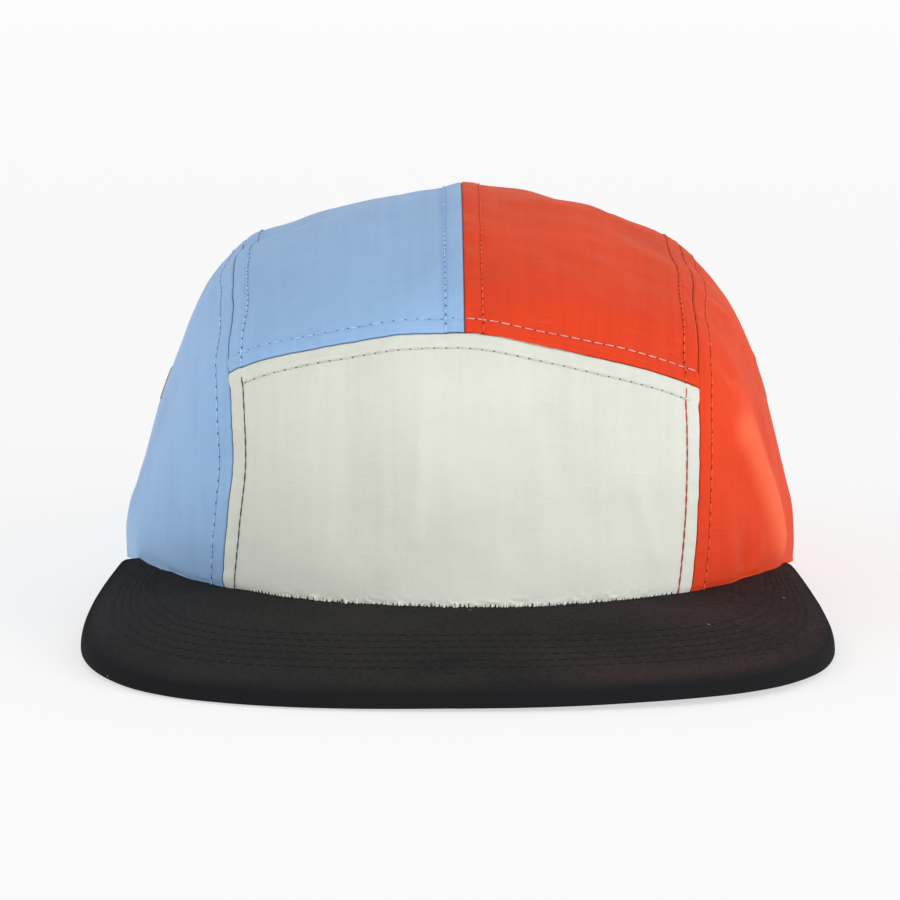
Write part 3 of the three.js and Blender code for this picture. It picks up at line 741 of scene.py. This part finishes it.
# Painted shade along the peak's outer edge: the twill is painted darker within about 11 mm of it.
edge = place.node("ShaderNodeAttribute", {"attribute_name": "from_edge"}, {}, output=2)
cloth = edge.between(0.0, 11.0).blend((0.0125, 0.0122, 0.0145, 1), cloth)
cloth = fleck.blend(cloth, (0.30, 0.29, 0.27, 1))
bump = (rib * 0.4 + slub * 1.2).relief(0.5, 0.0002)
feed(black_twill, twill_shader, {"Base Color": cloth, "Normal": bump})

EDGE_ROUND = 0.0030
EDGE_POWER = 2.1
EDGE_DROP = 0.0011
CORNER_ROUND = 0.0012
CORNER_POWER = 4
PEAK_ROWS = [0.0180, 0.0228, 0.0276, 0.0324, 0.0372, 0.0420]
PEAK_ROW_PULL = 0.00009
PEAK_DENT = (0.00012, 0.012)
PEAK_EDGE_LENGTH = 0.330
PEAK_DEPTH = 0.075
PEAK_TUCK = 0.03
PEAK_ZONE = 0.003


def peak_thickness(share, out):
    """Half the thickness of the peak, rounded to nothing at its outer edge and its rear corners."""
    middle = peak_middle(share, out)
    to_edge = np.linalg.norm(middle - peak_middle(share, 0 * out + 1), axis=-1)
    corner = peak_middle(np.where(share < 0, -1.0, 1.0), out)
    to_corner = np.linalg.norm(middle - corner, axis=-1)
    near = np.clip(to_edge / EDGE_ROUND, 0, 1)
    half = PEAK_THICKNESS / 2 * (1 - (1 - near) ** EDGE_POWER) ** (1 / EDGE_POWER)
    near_corner = np.clip(to_corner / CORNER_ROUND, 0, 1)
    half = half * (1 - (1 - near_corner) ** CORNER_POWER) ** (1 / CORNER_POWER)
    for row in PEAK_ROWS:
        half = half - PEAK_ROW_PULL * bell(to_edge - row, STITCH_PULL_WIDTH)
    return half + PEAK_DENT[0] * ripple(middle, PEAK_DENT[1]) * near


def peak_face(share, out, face):
    """Points on the peak's upper face (1) or lower one (-1)."""
    middle = peak_middle(share, out)
    half = peak_thickness(share, out)
    middle[..., 2] += face * half - EDGE_DROP * np.clip(1 - 2 * half / PEAK_THICKNESS, 0, 1)
    return middle


# The board starts a little behind the rim, under the cloth.
peak_across = spaced(PEAK_EDGE_LENGTH, PEAK_ZONE, SEAM_MESH, 0.0016) * 2 - 1
peak_out = spaced(PEAK_DEPTH, PEAK_ZONE, 0.00025, 0.0007)
peak_out = peak_out * (1 + PEAK_TUCK) - PEAK_TUCK
peak_bm = bmesh.new()
from_edge = peak_bm.verts.layers.float.new("from_edge")
for face in (1, -1):
    before = set(peak_bm.verts)
    bmesh.ops.create_grid(peak_bm, x_segments=len(peak_across) - 1, y_segments=len(peak_out) - 1, size=0.5)
    sheet = [v for v in peak_bm.verts if v not in before]
    grid = np.array([v.co for v in sheet])
    columns = np.rint((grid[:, 0] + 0.5) * (len(peak_across) - 1)).astype(int)
    rows = np.rint((grid[:, 1] + 0.5) * (len(peak_out) - 1)).astype(int)
    points = peak_face(peak_across[columns], peak_out[rows], face)
    edge_points = peak_middle(peak_across[columns], 0 * peak_out[rows] + 1)
    for v, point, edge_point in zip(sheet, points, edge_points):
        v.co = point
        v[from_edge] = float(np.linalg.norm(point[:2] - edge_point[:2])) * MILLIMETRES
bmesh.ops.remove_doubles(peak_bm, verts=peak_bm.verts[:], dist=1e-5)
bmesh.ops.recalc_face_normals(peak_bm, faces=peak_bm.faces[:])
make_piece("peak_cover", peak_bm, black_twill, node="peak")

# Sweatband
# A plain band of black twill inside the rim, from one end of the strap round the front to the other. It is
# turned in under the rim and stitched along its lower edge.

BAND_HEIGHT = 0.032
BAND_THICKNESS = 0.0012
BAND_DEPTH = 0.0017
STRAP_END = 0.046
BAND_FROM_STRAP = 0.0009
BAND_ROW = 0.003
BAND_ROW_WIDTH = 0.0008
BAND_ROW_PULL = 0.0002
BAND_LEAN = 0.0002
BAND_FROM_EDGE = 10.0
HALVINGS = 18
BACK_DEGREE = 0.0017


def halved(low, high, test):
    """The places between low and high where a test turns from false to true."""
    for _ in range(HALVINGS):
        middle = (low + high) / 2
        passed = test(middle)
        low, high = np.where(passed, low, middle), np.where(passed, middle, high)
    return (low + high) / 2


def place_at(bearing, height):
    """Turn and along at a bearing in degrees from straight ahead, and a height over a level rim."""
    side, bearing = np.where(bearing < 0, -1.0, 1.0), np.abs(bearing)
    height = np.maximum(height, 1e-5)

    def middle_height(along):
        return column(STATIONS, "height", along) * CROWN_HEIGHT

    def turn_at(along):
        def lower(turn):
            return smooth_crown(side * turn, along)[..., 2] < height

        return halved(0 * height, 0 * height + POLE, lower)

    def passed(along):
        point = smooth_crown(turn_at(along), along)
        return np.degrees(np.arctan2(point[..., 0], -point[..., 1])) > bearing

    first = halved(0 * height, 0 * height + TOP_STATION, lambda along: middle_height(along) > height)
    last = halved(0 * height + TOP_STATION, 0 * height + LAST, lambda along: middle_height(along) < height)
    along = halved(first, last, passed)
    return side * turn_at(along), along


def strip_grid(columns, rows, place):
    """A grid inside the crown. place gives bearing, height and depth for shares across and up."""
    bm = bmesh.new()
    bmesh.ops.create_grid(bm, x_segments=columns, y_segments=rows, size=0.5, calc_uvs=True)
    grid = np.array([v.co for v in bm.verts]) + 0.5
    bearing, height, depth = place(grid[:, 0], grid[:, 1])
    turn, along = place_at(bearing, height)
    points = crown_point(turn, along, -depth)
    uv = bm.loops.layers.uv.new("UVMap")
    for v, point in zip(bm.verts, points):
        v.co = point
    for face in bm.faces:
        for loop in face.loops:
            share = grid[loop.vert.index]
            loop[uv].uv = (share[0] * np.ptp(bearing) * BACK_DEGREE, share[1] * np.ptp(height))
    return bm


band_end = 180 - math.degrees(math.atan2(STRAP_END + BAND_FROM_STRAP, BACK_REACH))


def band_place(across, up):
    height = up * BAND_HEIGHT
    pull = BAND_ROW_PULL * bell(height - BAND_ROW, BAND_ROW_WIDTH)
    return mix(-band_end, band_end, across), height, BAND_DEPTH + pull + BAND_LEAN * up


band_bm = strip_grid(360, 26, band_place)
# The band is set far from an edge, so the twill's painted edge shade hardly darkens it.
from_edge = band_bm.verts.layers.float.new("from_edge")
for v in band_bm.verts:
    v[from_edge] = BAND_FROM_EDGE
sweatband = make_piece("sweatband_cloth", band_bm, black_twill, node="sweatband")
add_thickness(sweatband, BAND_THICKNESS)

# Strap and clasp
# Ribbed black webbing across the back, sewn inside both ends of the opening. A flat plastic sleeve round it
# is its clasp.

STRAP_WIDTH = 0.020
STRAP_THICKNESS = 0.0016
STRAP_DEPTH = 0.0015
STRAP_LIFT = 0.0024
CLASP_LENGTH = 0.022
CLASP_WALL = 0.0016
CLASP_FIT = 0.0004
CLASP_EDGE = 0.0004
RIB_PITCH = 0.00125
RIB_OUT = 0.00008
WEBBING_PITCH = 0.0011

webbing, webbing_shader, start = new_material("black_webbing", 0.7, 0.1, specular=0.3)
uv = start.node("ShaderNodeUVMap", {"uv_map": "UVMap"}, {})
length_way = uv.parts()
pitch = 2 * math.pi / WEBBING_PITCH
pick = (length_way * pitch).sine() * (length_way.beside(1) * pitch).sine()
fuzz = uv.cloudy(1500.0, 2.0)
cloth = (pick * 0.3 + fuzz).between(0.2, 0.9).blend((0.009, 0.009, 0.010, 1), (0.024, 0.024, 0.026, 1))
bump = (pick * 0.8 + fuzz * 0.4).relief(0.7, 0.0002)
feed(webbing, webbing_shader, {"Base Color": cloth, "Normal": bump})

strap_bearing = math.degrees(math.atan2(STRAP_END, BACK_REACH))
clasp_bearing = math.degrees(math.atan2(CLASP_LENGTH / 2, BACK_REACH))


def behind(turned):
    """Bearings across the back, from the red side (negative) to the blue one."""
    return np.where(turned < 0, 180 + turned, turned - 180)


def strap_place(across, up):
    rib = RIB_OUT * np.cos(2 * np.pi * up * STRAP_WIDTH / RIB_PITCH)
    bearing = behind(mix(-strap_bearing, strap_bearing, across))
    return bearing, STRAP_LIFT + up * STRAP_WIDTH, STRAP_DEPTH - rib


strap = make_piece("strap_webbing", strip_grid(80, 64, strap_place), webbing, node="back_strap")
add_thickness(strap, STRAP_THICKNESS)

plastic, plastic_shader, start = new_material("black_plastic", 0.42, specular=0.5)
place = start.own_place()
grain = place.cloudy(2200.0, 2.0)
scuff = place.cloudy(120.0, 4.0)
shell = scuff.between(0.3, 0.75).blend((0.008, 0.008, 0.009, 1), (0.014, 0.014, 0.015, 1))
bump = grain.relief(0.35, 0.0001)
feed(plastic, plastic_shader, {"Base Color": shell, "Roughness": 0.36 + scuff * 0.2, "Normal": bump})


def clasp_place(around, along):
    """Round the strap with square corners: up its outer face, over, down inside and back."""
    tall, deep = STRAP_WIDTH + 2 * CLASP_FIT, STRAP_THICKNESS + 2 * CLASP_FIT
    run = around * 2 * (tall + deep)
    up = np.clip(run, 0, tall) - np.clip(run - tall - deep, 0, tall)
    inwards = np.clip(run - tall, 0, deep) - np.clip(run - 2 * tall - deep, 0, deep)
    height = STRAP_LIFT - CLASP_FIT + up
    return behind(mix(clasp_bearing, -clasp_bearing, along)), height, STRAP_DEPTH - CLASP_FIT + inwards


clasp_bm = strip_grid(232, 12, clasp_place)
bmesh.ops.remove_doubles(clasp_bm, verts=clasp_bm.verts[:], dist=1e-6)
bmesh.ops.recalc_face_normals(clasp_bm, faces=clasp_bm.faces[:])
clasp = make_piece("clasp_sleeve", clasp_bm, plastic, node="strap_clasp")
add_thickness(clasp, CLASP_WALL).modifiers["thickness"].offset = 1
soft_edge = clasp.modifiers.new("edges", "BEVEL")
soft_edge.width, soft_edge.segments, soft_edge.limit_method = CLASP_EDGE, 2, "ANGLE"

# Eyelets
# Small aged brass rings that let air through the side panels. A ring outside and one inside are held together
# by a short tube through the cloth.

EYELET_BORE = 0.0026
EYELET_OUTSIDE = 0.0045
RING_ABOVE = 0.0001
RING_BELOW = 0.0002
RING_FLATNESS = 0.34
RING_STEPS = 40
TUBE_GAP = 0.0003
TUBE_OVER = 0.0008

# How far from the middle of an eyelet the cloth is felt, in degrees and in stations.
SEAT_TURN = 3
SEAT_ALONG = 0.35

brass, brass_shader, start = new_material("aged_brass", 0.38, metallic=1.0)
tarnish = start.own_place().cloudy(420.0, 4.0)
metal = tarnish.between(0.35, 0.7).blend((0.30, 0.22, 0.13, 1), (0.46, 0.35, 0.21, 1))
bump = tarnish.relief(0.2, 0.0001)
feed(brass, brass_shader, {"Base Color": metal, "Roughness": 0.3 + tarnish * 0.25, "Normal": bump})

for colour, (side, _) in CLOTHS.items():
    for which in EYELETS:
        node = f"eyelet_{colour}_{which}"
        turn, along = (np.array([value]) for value in nearest_place(middle_of(node), side))
        beside = SEAT_TURN * np.array([-1, 1, 0, 0]), SEAT_ALONG * np.array([0, 0, -1, 1])
        around = surface(turn + beside[0], along + beside[1])
        centre = Vector(around.mean(axis=0))
        normal = Vector(around[1] - around[0]).cross(Vector(around[3] - around[2])).normalized()
        if normal.dot(Vector(outward(turn, along)[0])) < 0:
            normal.negate()
        ring = bmesh.new()
        rim = (EYELET_OUTSIDE - EYELET_BORE) / 2
        for face in (1, -1):
            height = RING_ABOVE if face > 0 else -CLOTH_THICKNESS - RING_BELOW
            upright = Matrix.Rotation(math.pi / 2, 4, "X")
            circle = bmesh.ops.create_circle(
                ring, segments=12, radius=rim,
                matrix=Matrix.Translation((EYELET_BORE + rim, 0, height)) @ upright)
            for v in circle["verts"]:
                v.co.z = height + (v.co.z - height) * RING_FLATNESS
            edges = [e for e in ring.edges if all(v in circle["verts"] for v in e.verts)]
            bmesh.ops.spin(ring, geom=circle["verts"] + edges, axis=(0, 0, 1), cent=(0, 0, 0),
                           angle=2 * math.pi, steps=RING_STEPS, use_merge=True)
        tube = EYELET_BORE + TUBE_GAP
        bmesh.ops.create_cone(ring, segments=RING_STEPS, radius1=tube, radius2=tube,
                              depth=CLOTH_THICKNESS + TUBE_OVER, cap_ends=False,
                              matrix=Matrix.Translation((0, 0, -CLOTH_THICKNESS / 2)))
        bmesh.ops.recalc_face_normals(ring, faces=ring.faces[:])
        turned = Vector((0, 0, 1)).rotation_difference(normal).to_matrix().to_4x4()
        bmesh.ops.transform(ring, matrix=Matrix.Translation(centre) @ turned, verts=ring.verts[:])
        make_piece(f"{node}_ring", ring, brass, node=node)

# Stitches
# Rows of lock stitches a few millimetres from each seam and above the hem of the opening, in thread of the
# cloth's colour or near it, and in black along the peak, with painted shade in their needle holes. Short
# pale and black strokes in the seam over the peak are painted highlights and painted shade of the gathered
# cloth there.

STITCH_PITCH = 0.0029
STITCH_LENGTH = 0.0024
THREAD = 0.00024
FINE_THREAD = 0.00016
PROUD = 0.7
RIM_GATHER_MARKS_END = 38
RIM_GATHER_MARKS_UP = 0.0003
CENTRE_ROW_END = 10.5
FROM_HEM = 0.001
ROW_END = 0.02
HEM_ROW_END = 0.002
HEM_ROW_GAP = 0.03
PEAK_ROW_END = 0.97
ROWS_FROM_SEAM = 0.03
CREAM_ROW_INSET = (3.5, 0.4)


def thread_material(name, colour, dark):
    """Twisted thread, between a colour and its dark side."""
    material, shader, start = new_material(name, 0.75, 0.0, specular=0.15)
    ply = start.own_place().cloudy(900.0, 2.0)
    twist = ply.between(0.3, 0.7).blend(dark, colour)
    feed(material, shader, {"Base Color": twist, "Normal": ply.relief(0.4, 0.0001)})
    return material


THREADS = {
    "blue": thread_material("thread_blue", (0.52, 0.71, 0.97, 1), (0.30, 0.49, 0.80, 1)),
    "red": thread_material("thread_red", (0.95, 0.16, 0.065, 1), (0.7, 0.08, 0.035, 1)),
    "rose": thread_material("thread_rose", (0.86, 0.55, 0.56, 1), (0.66, 0.32, 0.34, 1)),
    "grey": thread_material("thread_grey", (0.70, 0.71, 0.65, 1), (0.55, 0.56, 0.51, 1)),
    "gather_highlight": thread_material("gather_highlight_thread", (0.95, 0.96, 0.90, 1), (0.80, 0.81, 0.75, 1)),
    "dark": thread_material("thread_dark", (0.085, 0.105, 0.13, 1), (0.05, 0.06, 0.075, 1)),
    "rust": thread_material("thread_rust", (0.62, 0.10, 0.05, 1), (0.38, 0.05, 0.03, 1)),
    "black": thread_material("black_thread_and_shade", (0.023, 0.022, 0.0215, 1), (0.014, 0.0135, 0.014, 1)),
}
# Colours of the painted shade in needle holes: small dark ellipsoids between the stitches, one set for each
# cloth.
HOLE_SHADE_COLOURS = {"blue": (0.06, 0.11, 0.19), "red": (0.18, 0.018, 0.012), "cream": (0.33, 0.33, 0.29)}
hole_shade_materials = {
    name: thread_material(f"needle_hole_shade_{name}", (*colour, 1), (*(0.6 * c for c in colour), 1))
    for name, colour in HOLE_SHADE_COLOURS.items()
}


def sew(name, thread, path, up, holes=None, pitch=STITCH_PITCH, length=STITCH_LENGTH, radius=THREAD,
        upright=False):
    """A row of stitches along a path on the cloth, each a thin grain that dips in at both ends.

    holes names the cloth whose needle holes show between them, as small dark ellipsoids of painted shade.
    Upright ones are short strokes across the path, moved a little by chance: painted highlights of gathered
    cloth where the thread is pale, and painted shade between the gathers where it is black.
    """
    chance = np.random.default_rng(len(path))
    run = np.concatenate([[0], np.cumsum(np.linalg.norm(np.diff(path, axis=0), axis=1))])

    def at(rows, place):
        return Vector([float(np.interp(place, run, rows[:, k])) for k in range(3)])

    thread_bm, hole_shade_bm = bmesh.new(), bmesh.new()
    for n in range(int(run[-1] / pitch)):
        middle = (n + 0.5) * pitch
        start, end = at(path, middle - length / 2), at(path, middle + length / 2)
        normal = at(up, middle).normalized()
        way = (end - start).normalized()
        across = normal.cross(way).normalized()
        centre = (start + end) / 2 + normal * radius * PROUD
        if upright:
            way, across = across, way
            centre = at(path, middle + chance.uniform(-0.4, 0.4) * pitch) + normal * radius * PROUD
            centre += way * chance.uniform(-0.3, 0.3) * length
        turned = Matrix((across * radius, normal * radius, way * length / 2)).transposed().to_4x4()
        bmesh.ops.create_uvsphere(thread_bm, u_segments=6, v_segments=6, radius=1,
                                  matrix=Matrix.Translation(centre) @ turned)
        # Painted shade: a small dark ellipsoid in the needle hole at the end of each stitch.
        if holes:
            axes = (across * radius * 1.15, way * radius * 1.6, normal * radius * 0.6)
            turned = Matrix(axes).transposed().to_4x4()
            bmesh.ops.create_icosphere(hole_shade_bm, subdivisions=1, radius=1,
                                       matrix=Matrix.Translation(at(path, n * pitch)) @ turned)
    bmesh.ops.recalc_face_normals(thread_bm, faces=thread_bm.faces[:])
    make_piece(name, thread_bm, THREADS[thread])
    if holes:
        bmesh.ops.recalc_face_normals(hole_shade_bm, faces=hole_shade_bm.faces[:])
        make_piece(f"{name}_holes", hole_shade_bm, hole_shade_materials[holes])
    else:
        hole_shade_bm.free()


def sew_on_crown(name, thread, turn, along, **more):
    """A row of stitches through places on the crown."""
    sew(name, thread, surface(turn, along), outward(turn, along), **more)


def beside_side_seam(side, along, away):
    """Turns at a distance outside the side seam, or inside it where that is negative."""
    seam = side_seam(side, along)
    step = apart(seam + 0.5, along, seam - 0.5, along)
    return seam + side * away / step


def beside_arch(turn, away):
    """Alongs at a distance behind the arched seam, or in front of it where that is negative."""
    along = arched_seam(turn)
    return along + away / (apart(turn, along + 0.05, turn, along - 0.05) / 0.1)


ROW = STITCH_FROM_SEAM
arch_end = np.array([ARCH_END])
for colour, (side, _) in CLOTHS.items():
    edge_thread, edge_radius, arch_thread = {
        "blue": ("dark", FINE_THREAD, "blue"), "red": ("rust", 0.0002, "rose")}[colour]
    along = np.linspace(ROW_END, LAST - ROW_END, 900)
    sew_on_crown(f"stitches_side_{colour}", colour, beside_side_seam(side, along, ROW), along, holes=colour)
    arch_along = float(arched_seam(side_seam(side, arch_end))[0])
    low = np.linspace(ROW_END, arch_along, 300)
    sew_on_crown(f"stitches_front_{colour}_edge", edge_thread, beside_side_seam(side, low, -ROW), low,
                 length=0.0031, radius=edge_radius)
    top = np.linspace(arch_along, LAST - ROW_END, 700)
    sew_on_crown(f"stitches_top_{colour}_edge", colour, beside_side_seam(side, top, -ROW), top, holes=colour)
    along = np.linspace(arched_seam(np.array([0.0]))[0], CENTRE_ROW_END, 600)
    along = along[outside_arch(centre_seam(along), along) > ROW + FROM_HEM]
    degree = apart(centre_seam(along) + 0.5, along, centre_seam(along) - 0.5, along)
    sew_on_crown(f"stitches_centre_{colour}", colour, centre_seam(along) + side * ROW / degree, along,
                 holes=colour)
    turn = np.linspace(centre_seam(arch_end)[0], side_seam(side, arch_end)[0], 300)
    sew_on_crown(f"stitches_arch_{colour}", arch_thread, turn, beside_arch(turn, ROW), holes=colour,
                 radius=FINE_THREAD)
first, last = side_seam(-1, arch_end)[0] + CREAM_ROW_INSET[0], side_seam(1, arch_end)[0] - CREAM_ROW_INSET[1]
turn = np.linspace(first, last, 500)
sew_on_crown("stitches_arch_cream", "grey", turn, beside_arch(turn, -ROW), holes="cream")

for colour, (side, _) in CLOTHS.items():
    angle = np.linspace(HEM_ROW_GAP, math.pi / 2 - HEM_ROW_GAP, 200)
    x = side * (OPENING_HALF_WIDTH + ROW) * np.sin(angle)
    height = OPENING_STRAIGHT + (OPENING_HEIGHT - OPENING_STRAIGHT + ROW) * np.cos(angle)
    x = np.concatenate([x, np.full(40, x[-1])])
    height = np.concatenate([height, np.linspace(height[-1], HEM_ROW_END, 40)])
    turn = np.degrees(np.arcsin(x / CROWN_HALF_WIDTH))
    along = halved(0 * x + TOP_STATION, 0 * x + LAST, lambda way: smooth_crown(turn, way)[..., 2] < height)
    sew_on_crown(f"stitches_opening_{colour}", colour, turn, along, holes=colour)

# Painted highlights and painted shade of the cloth gathered where the front panel meets the peak: pale
# upright strokes for the lit crests and black ones for the shade between them.
turn = np.linspace(-RIM_GATHER_MARKS_END, RIM_GATHER_MARKS_END, 500)
lap = PEAK_LAP * (1 - (turn / PEAK_CORNER) ** 2) + RIM_GATHER_MARKS_UP
rim_along = lap / (apart(turn, 0 * turn + 0.05, turn, 0 * turn) / 0.05)
sew_on_crown("rim_gather_highlights", "gather_highlight", turn, rim_along, pitch=0.0011, length=0.0016, upright=True)
sew_on_crown("rim_gather_shade", "black", turn, rim_along, pitch=0.0012, length=0.0012, radius=0.00018,
             upright=True)

for n, row in enumerate(PEAK_ROWS):
    share = np.linspace(-PEAK_ROW_END, PEAK_ROW_END, 900)
    edge = peak_middle(share, 0 * share + 1)
    out = halved(0 * share, 0 * share + 1, lambda way: np.linalg.norm(
        peak_middle(share, way) - edge, axis=-1) < row)
    inside = out > ROWS_FROM_SEAM
    path = peak_face(share[inside], out[inside], 1)
    sew(f"stitches_peak_{n}", "black", path, np.tile([0.0, 0.0, 1.0], (len(path), 1)),
        pitch=0.0033, length=0.0025, radius=0.00015)

# Studio
# A pale table that runs up behind, in a bright room, with soft light from the front and both sides, and the
# camera in front.

AIM = Vector((0.0012, 0.0033, 0.045))
ASIDE = 0.0031
BELOW = 0.0060
ELEVATION = math.radians(9.3)
DISTANCE = 1.6
FOCAL_IN_PIXELS = 6373
PICTURE_WIDTH = 900
SENSOR = 36

# The table: flat, then bent up behind, then straight up, where it is drawn out to twice its length.
TABLE_WIDTH = 12
TABLE_LENGTH = 9.0
TABLE_AHEAD = 3.0
TABLE_BEHIND = 2.5
BEND_LENGTH = 2.5
BEND_RADIUS = 1.6
DRAWN_OUT = 2

floor_bm = bmesh.new()
bmesh.ops.create_grid(floor_bm, x_segments=1, y_segments=24, size=0.5)
for v in floor_bm.verts:
    run = (v.co.y + 0.5) * TABLE_LENGTH - TABLE_AHEAD
    bend = min(max((run - TABLE_BEHIND) / BEND_LENGTH, 0.0), 1.0) * math.pi / 2
    up = max(run - TABLE_BEHIND - BEND_LENGTH, 0.0) * DRAWN_OUT
    v.co = (v.co.x * TABLE_WIDTH,
            min(run, TABLE_BEHIND) + BEND_RADIUS * math.sin(bend),
            BEND_RADIUS * (1 - math.cos(bend)) + up)
floor_mesh = bpy.data.meshes.new("table")
floor_bm.to_mesh(floor_mesh)
floor_bm.free()
floor_mesh.shade_smooth()
table = bpy.data.objects.new("table", floor_mesh)
bpy.context.collection.objects.link(table)
paper, paper_shader, start = new_material("white_paper", 0.9, specular=0.1)
glow = start.own_place().parts().beside(1).between(0.1, 2.5).blend(grey(0.603), grey(0.69))
feed(paper, paper_shader, {"Emission Color": glow})
paper_shader.inputs["Base Color"].default_value = grey(0.40)
paper_shader.inputs["Emission Strength"].default_value = 1.0
table.data.materials.append(paper)

world = bpy.data.worlds.new("room")
world.use_nodes = True
world.node_tree.nodes["Background"].inputs["Color"].default_value = (1.0, 1.0, 1.0, 1)
world.node_tree.nodes["Background"].inputs["Strength"].default_value = 0.615
bpy.context.scene.world = world


def soft_light(name, place, size, power):
    """A soft box at a place, turned to the cap."""
    lamp = bpy.data.lights.new(name, "AREA")
    lamp.shape, lamp.size, lamp.size_y = "RECTANGLE", size[0], size[1]
    lamp.energy = power
    light = bpy.data.objects.new(name, lamp)
    bpy.context.collection.objects.link(light)
    light.location = place
    light.rotation_euler = (AIM - Vector(place)).to_track_quat("-Z", "Y").to_euler()


soft_light("front", (0.0, -1.9, 0.22), (2.0, 0.6), 8.3)
soft_light("left", (-1.5, -0.5, 0.9), (1.0, 1.0), 4.6)
soft_light("right", (1.5, -0.5, 0.9), (0.8, 0.8), 4.2)
soft_light("low_right", (1.5, -1.1, 0.35), (0.5, 0.5), 7.6)

camera_data = bpy.data.cameras.new("camera")
camera_data.lens = FOCAL_IN_PIXELS / PICTURE_WIDTH * SENSOR
camera_data.sensor_width = SENSOR
camera_data.clip_end = 50
camera = bpy.data.objects.new("camera", camera_data)
bpy.context.collection.objects.link(camera)
aim = AIM + Vector((-ASIDE, 0, -BELOW))
camera.location = aim + Vector((0, -math.cos(ELEVATION), math.sin(ELEVATION))) * DISTANCE
camera.rotation_euler = (aim - camera.location).to_track_quat("-Z", "Y").to_euler()
bpy.context.scene.camera = camera
bpy.context.scene.view_settings.view_transform = "Standard"
